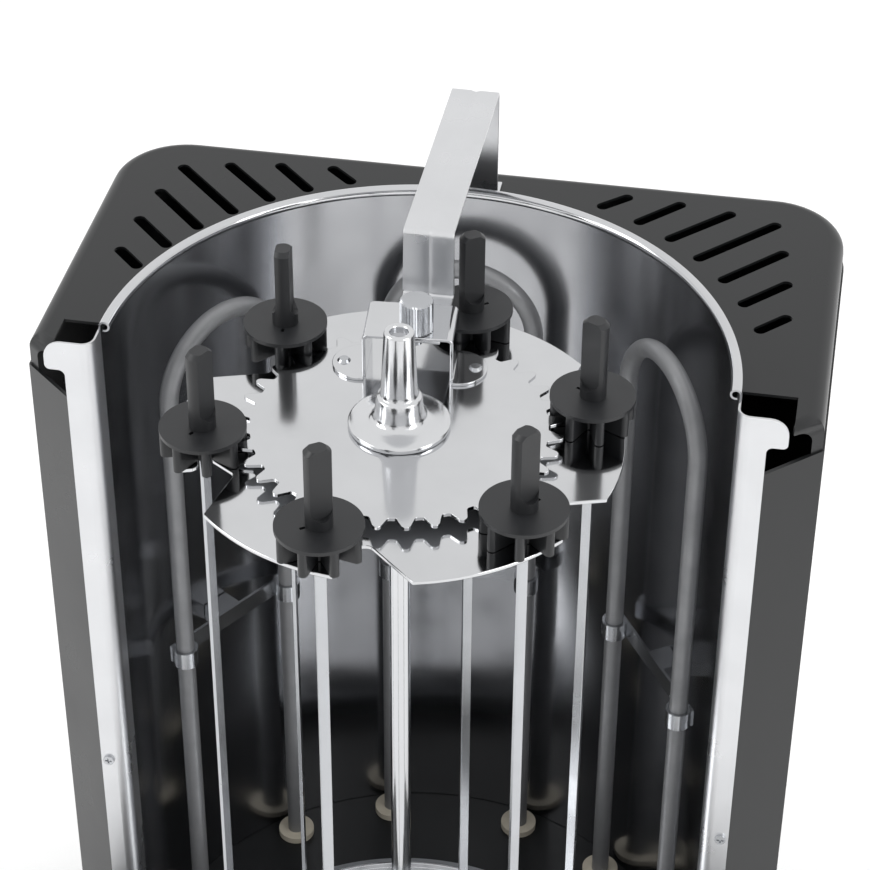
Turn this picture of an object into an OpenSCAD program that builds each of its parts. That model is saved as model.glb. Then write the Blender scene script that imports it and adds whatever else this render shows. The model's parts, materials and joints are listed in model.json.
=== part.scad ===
// Vertical electric skewer grill: a black housing with a polished half-round reflector,
// three tube heaters, and a driven carousel whose six skewers roll round a fixed toothed disc.
// Millimetres, +Z up. The origin is on the table, under the middle of the grill,
// in the plane of the housing's two front corners.

/* [Body] */
// Width of the housing and the base
body_w = 300; // [292:1:330]
// Depth of the housing behind its front corners
housing_d = 150; // [146:1:170]
// Reach of the base in front of the housing's front corners
base_reach = 138; // [136:1:146]
// Height of the slotted top plate above the table
plate_z = 410; // [390:1:430]
// Height of the top of the base above the table
deck_z = 88; // [86:1:92]
// Thickness of the black sheet steel
sheet = 1.5; // [1:0.1:2]
// Wall of the moulded base
base_wall = 2.5; // [2:0.1:3.5]
// Plan radius of the two rear corners
rear_r = 30; // [20:1:38]
// Plan radius of the base's two front corners
front_r = 40; // [30:1:42]
// How far each angled front post reaches inwards
post_in = 20.5; // [18:0.5:22]
// How far each angled front post reaches forwards
post_fwd = 18.5; // [16:0.5:20]
// Height of the rubber feet
foot_h = 8; // [6:0.5:12]

/* [Top plate] */
// Rounding of the top plate's edge
edge_r = 6; // [4:0.5:8]
// Depth of the top plate's turned-down skirt
skirt = 14; // [12:0.5:18]
// Width of the vent slots
slot_w = 5; // [4:0.5:6]
// How far the skirt lies inside the housing's outline
skirt_in = 0.8; // [0.5:0.1:1.2]

/* [Reflector] */
// Inner radius of the half-round reflector
refl_r = 118; // [116:0.5:119]
// Sheet thickness of the reflector
refl_t = 0.8; // [0.6:0.1:1.2]
// Height of the rolled rim's centre above the top plate
rim_h = 12.5; // [10:0.5:15]
// Outer radius of the rolled rim
bead_r = 2.2; // [1.8:0.1:2.6]
// Distance of the reflector's centre line behind the front corners
refl_y = -8; // [-10:0.5:-6]

/* [Carousel] */
// Distance of the carousel's axis in front of the housing's front corners
axis_fwd = 38; // [36:0.5:41]
// Radius of the circle that the skewers stand on
skewer_c = 69.7; // [69.5:0.05:70]
// Turn of the first skewer from the right-hand side, seen from above
first_skewer = 18; // [0:1:59]
// Teeth of the fixed disc
sun_teeth = 36; // [36:6:36]
// Teeth of each skewer's pinion
pinion_teeth = 8; // [8:1:8]
// Radius at the bottom of the fixed disc's teeth
sun_root_r = 53.3; // [53:0.1:53.5]
// Radius at the tips of the fixed disc's teeth
sun_tip_r = 58.6; // [58:0.1:59]
// Radius of the carrier disc
carrier_r = 80.5; // [79:0.5:83]
// Thickness of the sheet discs
disc_t = 1.5; // [1.2:0.1:2]
// Diameter of the centre rod
rod_d = 8; // [7:0.5:9]
// Diameter of the rod's upper end, which turns in the hub
rod_top_d = 6.3; // [5.5:0.1:7]
// Diameter of the turntable
turntable_d = 168; // [160:1:172]

/* [Skewers] */
// Width of the flat skewer blades
blade_w = 4; // [3.4:0.1:4.4]
// Thickness of the flat skewer blades
blade_t = 1.5; // [1.2:0.1:1.8]
// Diameter of the pinion's flange
flange_d = 31; // [30:0.5:33]
// Height of the handle above the flange
handle_h = 32.1; // [28:0.1:34]
// Diameter of the handle
handle_d = 9.6; // [8.5:0.1:10]
// Thickness left between the handle's two flats
handle_t = 5.4; // [4.5:0.1:6.5]

/* [Support arm] */
// Width of the steel strap
strap_w = 18.8; // [16:0.2:20]
// Thickness of the steel strap
strap_t = 1.2; // [1:0.1:1.5]
// Clearance between the skewer handles and the strap above them
strap_clear = 5.1; // [0.8:0.1:6]
// Clearance between the skewer handles and the strap's front leg
leg_clear = 6.1; // [4:0.1:8]
// Space between the reflector's back and the strap's rear leg
strap_gap = 14.5; // [10:0.1:20]

/* [Heaters] */
// Diameter of the heater tube
tube_d = 7.5; // [6.5:0.5:8.5]
// Space between the reflector and the circle that the heater legs stand on
heater_gap = 10; // [9:0.5:12]
// Half angle between a heater's two legs
heater_half = 16; // [14:0.5:17]
// Angle of the side heaters from the rear
heater_side = 57; // [54:0.5:58]
// Depth of the heater arches' tops below the top plate
heater_drop = 12; // [8:1:20]

/* [Drawer and controls] */
// Width of the grease drawer's front
drawer_w = 190; // [170:1:196]
// Height of the grease drawer's front
drawer_h = 28; // [24:0.5:28]
// Depth of the grease drawer
drawer_d = 172; // [140:1:176]
// Diameter of the timer knob
knob_d = 30; // [24:1:32]
// How far the knob stands out of the base
knob_out = 12; // [10:0.5:14]

/* [Hidden] */
$fn = 64;

black = "#3a3b3d";
dark = "#2c2d2f";
steel = "#c9cbce";
polished = "#dfe1e4";
tube_grey = "#4a4b4d";
eps = 0.01;
gap = 0.3;          // space between pieces that only sit beside each other
run = 0.05;         // radial clearance of a shaft in its bore
fit = 0.05;         // side clearance of a part pressed into its slot
half_w = body_w / 2;
axis_y = -axis_fwd;
heater_r = refl_r - heater_gap; // radius of the circle of the heater legs
strap_rear = refl_y + refl_r + refl_t + strap_gap;

// heights
shell_top = plate_z - skirt;
rim_z = plate_z + rim_h;
carrier_z = plate_z - 1.4;                      // underside of the carrier
teeth_z = carrier_z + disc_t + gap;             // lower end of the pinion teeth
sun_z = carrier_z + disc_t + 4;                 // underside of the fixed disc
sun_top = sun_z + disc_t;
flange_t = 1.5;
flange_z = sun_top + 5;                         // underside of the pinion flange
flange_top = flange_z + flange_t;
strap_top = flange_top + handle_h + strap_clear + strap_t;

// ---- plan outline of the housing -------------------------------------------------------------
post_len = norm([post_in, post_fwd]);
post_nx = post_fwd / post_len;                  // outward normal of the right post's face
post_ny = -post_in / post_len;
function post_corner_y(i) = i * (post_nx - 1) / post_ny;
function post_x(i, y) = half_w + (-i - post_ny * y) / post_nx;
post_tip_x = post_x(0, -post_fwd);

module plan(i) {
    y0 = -post_fwd + i;
    side = half_w - i;
    polygon([[-post_x(i, y0), y0], [-side, post_corner_y(i)], [-side, housing_d - rear_r],
        [side, housing_d - rear_r], [side, post_corner_y(i)], [post_x(i, y0), y0]]);
    translate([-(half_w - rear_r), 0]) square([body_w - 2 * rear_r, housing_d - i]);
    for (s = [-1, 1])
        translate([s * (half_w - rear_r), housing_d - rear_r]) circle(r = rear_r - i);
}

module base_plan(i) {
    for (s = [-1, 1]) {
        translate([s * (half_w - rear_r), housing_d - rear_r]) circle(r = rear_r - i);
        translate([s * (half_w - front_r), front_r - base_reach]) circle(r = front_r - i);
    }
    translate([-(half_w - i), front_r - base_reach])
        square([body_w - 2 * i, base_reach + housing_d - front_r - rear_r]);
    translate([-(half_w - rear_r), 0]) square([body_w - 2 * rear_r, housing_d - i]);
    translate([-(half_w - front_r), i - base_reach]) square([body_w - 2 * front_r, base_reach]);
}

// ---- rounded polygons: corners are [x, y, r] -------------------------------------------------
corner_n = 6;
function unit(v) = v / norm(v);
function xy(p) = [p[0], p[1]];
function turn_to(a, b) = ((b - a + 540) % 360) - 180;
function corner_arc(p0, p1, p2, r) =
    let (a = unit(p0 - p1), b = unit(p2 - p1), half = acos(a * b) / 2,
        c = p1 + unit(a + b) * r / sin(half), s = p1 + a * r / tan(half), e = p1 + b * r / tan(half),
        a0 = atan2(s[1] - c[1], s[0] - c[0]), da = turn_to(a0, atan2(e[1] - c[1], e[0] - c[0])))
    [for (i = [0 : corner_n]) c + r * [cos(a0 + da * i / corner_n), sin(a0 + da * i / corner_n)]];
function rounded(pts) = let (n = len(pts)) [for (i = [0 : n - 1])
    each (pts[i][2] > 0
        ? corner_arc(xy(pts[(i + n - 1) % n]), xy(pts[i]), xy(pts[(i + 1) % n]), pts[i][2])
        : [xy(pts[i])])];

module slab(x0, y0, x1, y1, z0, z1) {
    translate([x0, y0, z0]) cube([x1 - x0, y1 - y0, z1 - z0]);
}

module at_axis() { translate([0, axis_y, 0]) children(); }

// ---- screws: a pan head on a plain shank, head outwards along +Z ------------------------------
module screw(head_d, head_h, shank_d, shank_l) {
    difference() {
        cylinder(d = head_d, h = head_h);
        for (a = [0, 90]) rotate([0, 0, a])
            translate([-head_d * 0.3, -0.4, head_h - 0.7]) cube([head_d * 0.6, 0.8, 1]);
    }
    translate([0, 0, -shank_l]) cylinder(d = shank_d, h = shank_l + eps);
}

// ================================ base =========================================================
wall_in = -base_reach + base_wall;              // inner face of the base's front wall
base_floor = foot_h;
plate_t = 1.2;                                  // bottom plate
deck_t = 3;
deck_under = deck_z - deck_t;
mouth_gap = 0.6;                                // gap round the drawer front
drawer_z0 = base_floor + 6;                     // underside of the drawer front
mouth_w = drawer_w + 2 * mouth_gap;
mouth_h = drawer_h + 2 * mouth_gap;
panel_w = body_w - 76;
panel_z0 = drawer_z0 + drawer_h + 8;
panel_z1 = deck_z - 4;
panel_t = 1.2;
panel_mid = (panel_z0 + panel_z1) / 2;
knob_x = 76;
lens_x = 18;
rocker_x = [-84, -46];
rocker_w = 11;
rocker_r = 6.8;
frame_w = 19;
frame_h = 21;
gland_x = 100;
gland_z = 38;
gland_d = 12;
gland_bore = 8;
pocket_w = 34;
pocket_d = 8;
drive_hole_d = 22;
bush_d = 12;
bush_flange_d = 16;
bush_h = 3;
drain_y = axis_y - 74;
drain_d = 6;

// places of the six heater legs: [x, y]
heater_angles = [-heater_side, 0, heater_side];
chord_r = heater_r * cos(heater_half);
arch_r = heater_r * sin(heater_half);
module at_heater(i) { translate([0, refl_y, 0]) rotate([0, 0, -heater_angles[i]]) children(); }
module at_legs(i) {
    at_heater(i) for (s = [-1, 1]) translate([s * arch_r, chord_r, 0]) children();
}

// bottom screws stand near the corners of the base
screw_spots = [for (x = [-1, 1], y = [-1, 1]) [x * (half_w - 26), y > 0 ? housing_d - 26 : 40 - base_reach]];
foot_spots = [for (x = [-1, 1], y = [-1, 1]) [x * (half_w - 44), y > 0 ? housing_d - 26 : 40 - base_reach]];
foot_d = 20;
boss_d = 8;
screw_d = 3;

module base_housing() {
    color(black) difference() {
        union() {
            difference() {
                translate([0, 0, base_floor]) linear_extrude(deck_z - base_floor) base_plan(0);
                translate([0, 0, base_floor - 1])
                    linear_extrude(deck_under - base_floor + 1) base_plan(base_wall);
            }
            // screw bosses from the deck down to the bottom plate
            for (p = screw_spots) translate([p[0], p[1], base_floor + plate_t])
                cylinder(d = boss_d, h = deck_under - base_floor - plate_t + eps);
            // pocket behind the cord gland
            translate([gland_x, 0, 0])
                slab(-pocket_w / 2 - base_wall, housing_d - pocket_d - base_wall,
                    pocket_w / 2 + base_wall, housing_d - eps,
                    gland_z - pocket_w / 2 - base_wall + 6, gland_z + pocket_w / 2 + base_wall);
        }
        translate([gland_x, 0, 0])
            slab(-pocket_w / 2, housing_d - pocket_d, pocket_w / 2, housing_d + 1,
                gland_z - pocket_w / 2 + 6, gland_z + pocket_w / 2);
        translate([gland_x, housing_d, gland_z]) rotate([90, 0, 0])
            cylinder(d = gland_d + 2 * run, h = 30);
        for (p = screw_spots) translate([p[0], p[1], 0]) cylinder(d = screw_d, h = base_floor + 24);
        // drawer mouth
        slab(-mouth_w / 2, -base_reach - 1, mouth_w / 2, wall_in + 1,
            drawer_z0 - mouth_gap, drawer_z0 - mouth_gap + mouth_h);
        // seat of the control panel and the holes behind it
        slab(-panel_w / 2 - gap, -base_reach - 1, panel_w / 2 + gap, panel_t - base_reach,
            panel_z0 - gap, panel_z1 + gap);
        translate([knob_x, 1 - base_reach, panel_mid]) rotate([90, 0, 0])
            cylinder(d = 9, h = 10, center = true);
        translate([lens_x, -base_reach, panel_mid]) rotate([90, 0, 0])
            cylinder(d = 7, h = 12, center = true);
        for (x = rocker_x) slab(x - frame_w / 2 + 1.5, -base_reach - 1, x + frame_w / 2 - 1.5,
            wall_in + 1, panel_mid - frame_h / 2 + 1.5, panel_mid + frame_h / 2 - 1.5);
        // deck holes: drive, heater bushes, grease drain, motor screws
        at_axis() translate([0, 0, deck_under - 1]) cylinder(d = drive_hole_d, h = deck_t + 2);
        for (i = [0 : 2]) at_legs(i) translate([0, 0, deck_under - 1]) cylinder(d = bush_d, h = 9);
        translate([0, drain_y, deck_under - 1]) cylinder(d = drain_d + 2, h = 9);
        for (s = [-1, 1]) translate([s * motor_ear, axis_y, deck_under - 1])
            cylinder(d = screw_d, h = 3);
    }
}

module bottom_plate() {
    color(steel) difference() {
        translate([0, 0, base_floor]) linear_extrude(plate_t) base_plan(base_wall + gap);
        for (p = screw_spots) translate([p[0], p[1], 0]) cylinder(d = screw_d + 0.4, h = 20);
        for (p = foot_spots) translate([p[0], p[1], 0]) cylinder(d = 5, h = 20);
        for (x = [-60 : 12 : 60]) slab(x - 2, 92, x + 2, 128, base_floor - 1, base_floor + 3);
    }
}

module feet() {
    color(dark) for (p = foot_spots) translate([p[0], p[1], 0]) {
        cylinder(d = foot_d, h = foot_h);
        cylinder(d = 4.8, h = foot_h + plate_t + gap);
        translate([0, 0, foot_h + plate_t + gap - eps]) cylinder(d = 7, h = 1.2);
    }
}

module bottom_screws() {
    color(steel) for (p = screw_spots) translate([p[0], p[1], base_floor])
        mirror([0, 0, 1]) screw(6, 2, screw_d - 0.1, 20);
}

// ================================ housing ======================================================
panel_half = half_w - rear_r - 20; // half width of the rear opening
panel_low = deck_z + 22;
panel_high = shell_top - 22;
rear_lap = 8;           // how far the rear panel laps the opening
flange_w = 6.5;         // width of the reflector's flat front flange
lip_x = post_tip_x - flange_w; // inner edge of the front lips

module housing_shell() {
    h = shell_top - deck_z;
    color(black) difference() {
        union() {
            for (s = [0, 1]) mirror([s, 0, 0]) {
                // side wall, angled post and lip
                translate([0, 0, deck_z]) linear_extrude(h) polygon([[half_w, housing_d - rear_r],
                    [half_w, post_corner_y(0)], [post_tip_x, -post_fwd], [lip_x, -post_fwd],
                    [lip_x, sheet - post_fwd], [post_x(sheet, sheet - post_fwd), sheet - post_fwd],
                    [half_w - sheet, post_corner_y(sheet)], [half_w - sheet, housing_d - rear_r]]);
                translate([half_w - rear_r, housing_d - rear_r, deck_z]) rotate_extrude(angle = 90)
                    translate([rear_r - sheet, 0]) square([sheet, h]);
            }
            slab(rear_r - half_w, housing_d - sheet, half_w - rear_r, housing_d, deck_z, shell_top);
        }
        slab(-panel_half, housing_d - 5, panel_half, housing_d + 1, panel_low, panel_high);
        for (p = rear_spots) translate([p[0], housing_d, p[1]]) rotate([90, 0, 0]) {
            cylinder(d = screw_d + 0.2, h = 6);
            translate([0, 0, -1]) cylinder(d = rear_head_d + 2 * gap, h = 1 + rear_head_h);
        }
    }
}

rear_spots = [for (x = [-1, 1], z = [panel_low + 20, (panel_low + panel_high) / 2, panel_high - 20])
    [x * (panel_half + rear_lap / 2), z]];
panel_sheet = 1.2;
rear_head_d = 6;
rear_head_h = 0.9;

module rear_panel() {
    y1 = housing_d - sheet;
    color(black) difference() {
        slab(-panel_half - rear_lap, y1 - panel_sheet, panel_half + rear_lap, y1,
            panel_low - rear_lap, panel_high + rear_lap);
        for (z = [panel_high - 20 : -12 : panel_high - 104], s = [-1, 1])
            translate([s * 46, y1, z]) rotate([90, 0, 0]) linear_extrude(6, center = true) {
                square([64, slot_w], center = true);
                for (e = [-32, 32]) translate([e, 0]) circle(d = slot_w);
            }
        for (p = rear_spots) translate([p[0], housing_d + 1, p[1]]) rotate([90, 0, 0])
            cylinder(d = screw_d, h = 6);
    }
}

module rear_screws() {
    color(steel) for (p = rear_spots) translate([p[0], housing_d - rear_head_h, p[1]])
        rotate([-90, 0, 0]) screw(rear_head_d, rear_head_h, screw_d - 0.1, 4);
}

// ---- top plate: a pressed cap whose rolled edge drops into the housing --------------------------
cap_w = half_w - skirt_in;
cap_d = housing_d - skirt_in;
cap_r = rear_r - skirt_in;
cap_t = 1.2;
plate_front = 11.7;             // front edge of the flat plate
cap_in_x = half_w - 11.5;       // inner edge of the cap's front corners
hole_r = refl_r + refl_t + gap; // half-round cut for the reflector
// the ends of each slot, inwards from the housing's side and forwards from its back
slot_ends = [[18, 86.5, 30.5, 99.5], [19.5, 63.5, 38, 83], [22.5, 42, 47, 68], [27, 22, 58, 54.5],
    [45.5, 17, 70.5, 42.5], [66, 13.5, 84, 32.5], [87.5, 12, 100, 23.5]];
slots = [for (p = slot_ends) [half_w - p[0], housing_d - p[1], half_w - p[2], housing_d - p[3]]];

// quarter-round edge and skirt, with 1 mm of the flat; x points outwards from the edge's centre
rim_n = 8;
module rim_profile() {
    polygon([[-1, edge_r], for (i = [0 : rim_n]) edge_r * [sin(90 * i / rim_n), cos(90 * i / rim_n)],
        [edge_r, edge_r - skirt], [edge_r - cap_t, edge_r - skirt],
        for (i = [rim_n : -1 : 0])
            (edge_r - cap_t) * [sin(90 * i / rim_n), cos(90 * i / rim_n)], [-1, edge_r - cap_t]]);
}

module slot_2d(p) {
    a = atan2(p[3] - p[1], p[2] - p[0]);
    l = norm([p[2] - p[0], p[3] - p[1]]) - slot_w;
    translate([(p[0] + p[2]) / 2, (p[1] + p[3]) / 2]) rotate(a) {
        square([l, slot_w], center = true);
        for (e = [-1, 1]) translate([e * l / 2, 0]) circle(d = slot_w);
    }
}

recess_x = half_w - 4.8;        // outer side of the recess in the front corner
recess_top = 3.5;               // depth of the recess's upper edge below the plate

// right half of the flat of the plate; it ends under the rim's own flat
flat_in = edge_r + 0.5;
plate_half = [[cap_w - flat_in, plate_front], [cap_w - flat_in, cap_d - cap_r],
    [cap_w - cap_r, cap_d - cap_r], [cap_w - cap_r, cap_d - flat_in]];

// a block with a rounded upper edge: i inside the cap's face, its top i below the plate
module edge_block(i, reach, low) {
    r = edge_r - i;
    polygon([[-reach, r], for (k = [0 : rim_n]) r * [sin(90 * k / rim_n), cos(90 * k / rim_n)],
        [r, low], [-reach, low]]);
}

// the front corner as a solid, i inside the cap's outer face
module front_block(i, low) {
    back = plate_front + (i > 0 ? 1 : 0);
    intersection() {
        translate([cap_w - edge_r, back, plate_z - edge_r]) rotate([90, 0, 0])
            linear_extrude(back + post_fwd + 4) edge_block(i, cap_w - edge_r - cap_in_x + i, low);
        translate([cap_w - edge_r, post_corner_y(skirt_in + edge_r), plate_z - edge_r])
            rotate([0, 0, atan2(post_ny, post_nx)]) translate([0, 40, 0]) rotate([90, 0, 0])
            linear_extrude(80) edge_block(i, 40, low - 1);
    }
}

module top_plate() {
    ez = plate_z - edge_r;
    inner = cap_w - edge_r;
    color(black) difference() {
        union() {
            // flat of the plate
            translate([0, 0, plate_z - cap_t]) linear_extrude(cap_t)
                polygon(concat(plate_half, [for (i = [len(plate_half) - 1 : -1 : 0])
                    [-plate_half[i][0], plate_half[i][1]]]));
            for (s = [0, 1]) mirror([s, 0, 0]) translate([cap_w - cap_r, cap_d - cap_r, 0])
                rotate_extrude(angle = 90) translate([0, plate_z - cap_t])
                    square([cap_r - flat_in, cap_t]);
            for (s = [0, 1]) mirror([s, 0, 0]) {
                // side edge
                translate([inner, cap_d - cap_r, ez]) rotate([90, 0, 0])
                    linear_extrude(cap_d - cap_r - plate_front) rim_profile();
                // rear corner
                translate([cap_w - cap_r, cap_d - cap_r, ez]) rotate_extrude(angle = 90)
                    translate([cap_r - edge_r, 0]) rim_profile();
                // front corner, along the angled post
                difference() {
                    front_block(0, edge_r - skirt);
                    front_block(cap_t, edge_r - skirt - 1);
                }
            }
            // rear edge
            translate([-(cap_w - cap_r), cap_d - edge_r, ez]) rotate([90, 0, 90])
                linear_extrude(2 * (cap_w - cap_r)) rim_profile();
        }
        // half-round cut for the reflector
        translate([0, refl_y, plate_z - 5]) cylinder(r = hole_r, h = 10);
        translate([0, 0, plate_z - 5]) linear_extrude(10)
            for (s = [0, 1], p = slots) mirror([s, 0]) slot_2d(p);
        for (s = [0, 1]) mirror([s, 0, 0]) translate([0, 5, 0]) rotate([90, 0, 0])
            linear_extrude(30) polygon(rounded([[cap_in_x - 5, shell_top - 1, 0],
                [recess_x, shell_top - 1, 0], [recess_x, plate_z - recess_top, 5],
                [cap_in_x - 5, plate_z - recess_top + 1, 0]]));
        for (x = strap_holes) translate([x, strap_foot_y, plate_z - 5]) cylinder(d = screw_d, h = 10);
    }
}

// ================================ reflector ====================================================
bend_r = 5;                     // outer radius of the bend into the front flange
refl_front = bend_r - refl_t - post_fwd;
tab_top = rim_z - 1;
tab_low = plate_z - 1;
tab_out = 7.5;                  // how far the top tab reaches past the flange

module reflector() {
    color(polished) {
        translate([0, 0, deck_z + gap]) linear_extrude(rim_z - deck_z - gap) difference() {
            translate([0, refl_y]) circle(r = refl_r + refl_t);
            translate([0, refl_y]) circle(r = refl_r);
            translate([-200, refl_y - 400]) square(400);
        }
        translate([0, refl_y, rim_z]) rotate_extrude(angle = 180)
            translate([refl_r + refl_t - bead_r, 0]) difference() {
                circle(r = bead_r);
                circle(r = bead_r - refl_t);
            }
        for (s = [0, 1]) mirror([s, 0, 0]) {
            translate([0, 0, deck_z + gap]) linear_extrude(tab_top - deck_z - gap) {
                translate([refl_r, refl_front]) square([refl_t, refl_y - refl_front]);
                difference() {
                    translate([refl_r + bend_r, refl_front]) circle(r = bend_r);
                    translate([refl_r + bend_r, refl_front]) circle(r = bend_r - refl_t);
                    translate([refl_r - 5, refl_front]) square(30);
                    translate([refl_r + bend_r, refl_front - 10]) square(30);
                }
            }
            difference() {
                translate([0, -post_fwd, 0]) rotate([90, 0, 0]) linear_extrude(refl_t)
                    polygon(rounded([[refl_r + bend_r, deck_z + gap, 0],
                        [post_tip_x - fit, deck_z + gap, 0], [post_tip_x - fit, tab_low, 2.5],
                        [post_tip_x + tab_out, tab_low, 2], [post_tip_x + tab_out, tab_top, 7],
                        [refl_r + bend_r, tab_top, 0]]));
                translate([post_tip_x + tab_out - 2.6, -post_fwd, tab_low + 4]) rotate([90, 0, 0])
                    cylinder(d = 2.4, h = 10, center = true);
                for (z = refl_screw_z) translate([post_tip_x - flange_w / 2, -post_fwd, z])
                    rotate([90, 0, 0]) cylinder(d = 2.4, h = 10, center = true);
            }
        }
    }
}

refl_screw_z = [deck_z + 24, deck_z + 124];

module reflector_screws() {
    color(steel) for (s = [-1, 1], z = refl_screw_z)
        translate([s * (post_tip_x - flange_w / 2), -post_fwd - refl_t, z]) rotate([90, 0, 0])
            screw(4.6, 1, 2.2, refl_t);
}

// ================================ heaters ======================================================
arch_z = plate_z - heater_drop - tube_d / 2 - arch_r;
leg_low = deck_under - 12;
pin_d = 3;
pin_l = 12;

module heater(i) {
    color(tube_grey) {
        at_heater(i) translate([0, chord_r, arch_z]) rotate([90, 0, 0]) rotate_extrude(angle = 180)
            translate([arch_r, 0]) circle(d = tube_d);
        at_legs(i) {
            translate([0, 0, leg_low]) cylinder(d = tube_d, h = arch_z - leg_low);
            translate([0, 0, leg_low - pin_l]) cylinder(d = pin_d, h = pin_l);
        }
    }
}

module heater_bushes() {
    color("#d8d2c4") for (i = [0 : 2]) at_legs(i) difference() {
        union() {
            translate([0, 0, deck_z]) cylinder(d = bush_flange_d, h = bush_h);
            translate([0, 0, deck_under - 1]) cylinder(d = bush_d - 2 * run, h = deck_t + 1 + eps);
        }
        translate([0, 0, deck_under - 2]) cylinder(d = tube_d + 2 * run, h = 12);
    }
}

clip_z = plate_z - 178;
clip_h = 8;
clip_half = 6;          // half width of the tongue that reaches the reflector
clip_t = 1.2;
clip_back = tube_d / 2 + 0.2;

module heater_clips() {
    wall = sqrt(refl_r * refl_r - clip_half * clip_half) - gap;
    color(steel) for (i = [0 : 2]) translate([0, 0, clip_z]) difference() {
        union() {
            at_heater(i) slab(-arch_r - 4, chord_r + clip_back, arch_r + 4,
                chord_r + clip_back + clip_t, 0, clip_h);
            at_heater(i) slab(-clip_half, chord_r + clip_back + clip_t / 2, clip_half, wall,
                0, clip_h);
            at_legs(i) cylinder(d = tube_d + 3, h = clip_h);
        }
        at_legs(i) translate([0, 0, -1]) cylinder(d = tube_d + 2 * run, h = clip_h + 2);
    }
}

block_w = 24;
block_l = 60;
block_h = 16;
block_in = 50;          // distance of the block from the left side of the base
block_fwd = 100;        // distance of its front end from the back of the base

module terminal_block() {
    color("#e6e2d8") translate([block_in - half_w, housing_d - block_fwd, base_floor + plate_t])
        difference() {
            cube([block_w, block_l, block_h]);
            for (i = [0 : 4]) translate([0, 8 + i * (block_l - 16) / 4, 0]) {
                translate([-1, 0, block_h - 5]) rotate([0, 90, 0]) cylinder(d = 3.4, h = block_w + 2);
                translate([block_w / 2, 0, block_h - 6]) cylinder(d = 4, h = 7);
            }
        }
}

module thermal_cutout() {
    color(dark) translate([0, refl_y, clip_z + 60]) rotate([0, 0, 24]) {
        translate([0, refl_r + refl_t + gap, 0]) rotate([-90, 0, 0]) {
            cylinder(d = 16, h = 7);
            cylinder(d = 22, h = 1);
        }
        for (x = [-4, 4]) slab(x - 1.5, refl_r + refl_t + 7, x + 1.5, refl_r + refl_t + 14, -0.4, 0.4);
    }
}

// ================================ support arm ==================================================
bracket_top = plate_z + 24;     // top face of the hat bracket on the fixed disc
bracket_turn = 4.6;             // its turn about the carousel's axis
bracket_half = 16.6;
bracket_front = 27.5;           // distance of its front edge from the axis
bracket_reach = skewer_c - flange_d / 2 - 0.9;
bracket_back = sqrt(bracket_reach * bracket_reach - bracket_half * bracket_half) - 0.85;
ear = [17.8, 35.4, 10.7];       // ear centre and radius, from the axis
rivet_x = 24.2;
screw_y = axis_y + bracket_front + 6.3;
thread_d = 4;
foot_top = bracket_top - strap_t;
leg_back = axis_y + skewer_c - handle_d / 2 - leg_clear;  // rear face of the strap's front leg
rear_foot = 12;
strap_foot_y = strap_rear + rear_foot / 2;
strap_holes = [-5, 5];
inner_bend = 1.2;
outer_bend = inner_bend + strap_t;

module strap() {
    rear_front = strap_rear - strap_t;
    leg_front = leg_back - strap_t;
    foot_y = screw_y - 5.5;
    section = rounded([[foot_y, foot_top - strap_t, 0], [leg_back, foot_top - strap_t, outer_bend],
        [leg_back, strap_top - strap_t, inner_bend], [rear_front, strap_top - strap_t, inner_bend],
        [rear_front, plate_z, outer_bend], [strap_rear + rear_foot, plate_z, 0],
        [strap_rear + rear_foot, plate_z + strap_t, 0], [strap_rear, plate_z + strap_t, inner_bend],
        [strap_rear, strap_top, outer_bend], [leg_front, strap_top, outer_bend],
        [leg_front, foot_top, inner_bend], [foot_y, foot_top, 0]]);
    color(polished) difference() {
        translate([-strap_w / 2, 0, 0]) rotate([90, 0, 90]) linear_extrude(strap_w) polygon(section);
        // pressed crease along the top
        translate([0, rear_front - 3, strap_top + 0.25]) rotate([90, 0, 0])
            linear_extrude(rear_front - leg_back - 6) polygon([[-1.6, 0], [0, -0.7], [1.6, 0]]);
        translate([0, screw_y, foot_top - 4]) cylinder(d = thread_d + 2 * run, h = 8);
        for (x = strap_holes) translate([x, strap_foot_y, plate_z - 1])
            cylinder(d = screw_d + 0.2, h = 4);
    }
}

module strap_screws() {
    color(steel) for (x = strap_holes)
        translate([x, strap_foot_y, plate_z + strap_t]) screw(5.6, 1.6, screw_d - 0.1, 6);
}

// ================================ fixed toothed disc ===========================================
tooth = 360 / sun_teeth;
root_half = 1.5;                // half angle of the gap at the teeth's root
tip_half = 1.27;                // half angle of a tooth at its tip
tip_round = 0.9;

function polar(r, a) = [r * cos(a), r * sin(a)];
// one gap and the tooth after it, the gap centred on angle a
function sun_step(a) = [polar(sun_root_r, a - root_half), polar(sun_root_r, a + root_half),
    polar(sun_tip_r - tip_round, a + tooth / 2 - tip_half - 0.25),
    polar(sun_tip_r, a + tooth / 2 - tip_half / 2), polar(sun_tip_r, a + tooth / 2 + tip_half / 2),
    polar(sun_tip_r - tip_round, a + tooth / 2 + tip_half + 0.25)];
spigot_d = 12;
rivet_d = 3;

module sun_gear() {
    color(polished) at_axis() translate([0, 0, sun_z]) linear_extrude(disc_t) difference() {
        polygon([for (i = [0 : sun_teeth - 1]) each sun_step(first_skewer + i * tooth)]);
        circle(d = spigot_d + 2 * run);
        rotate(bracket_turn) for (s = [-1, 1]) translate([s * rivet_x, ear[1]]) circle(d = rivet_d);
    }
}

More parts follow.
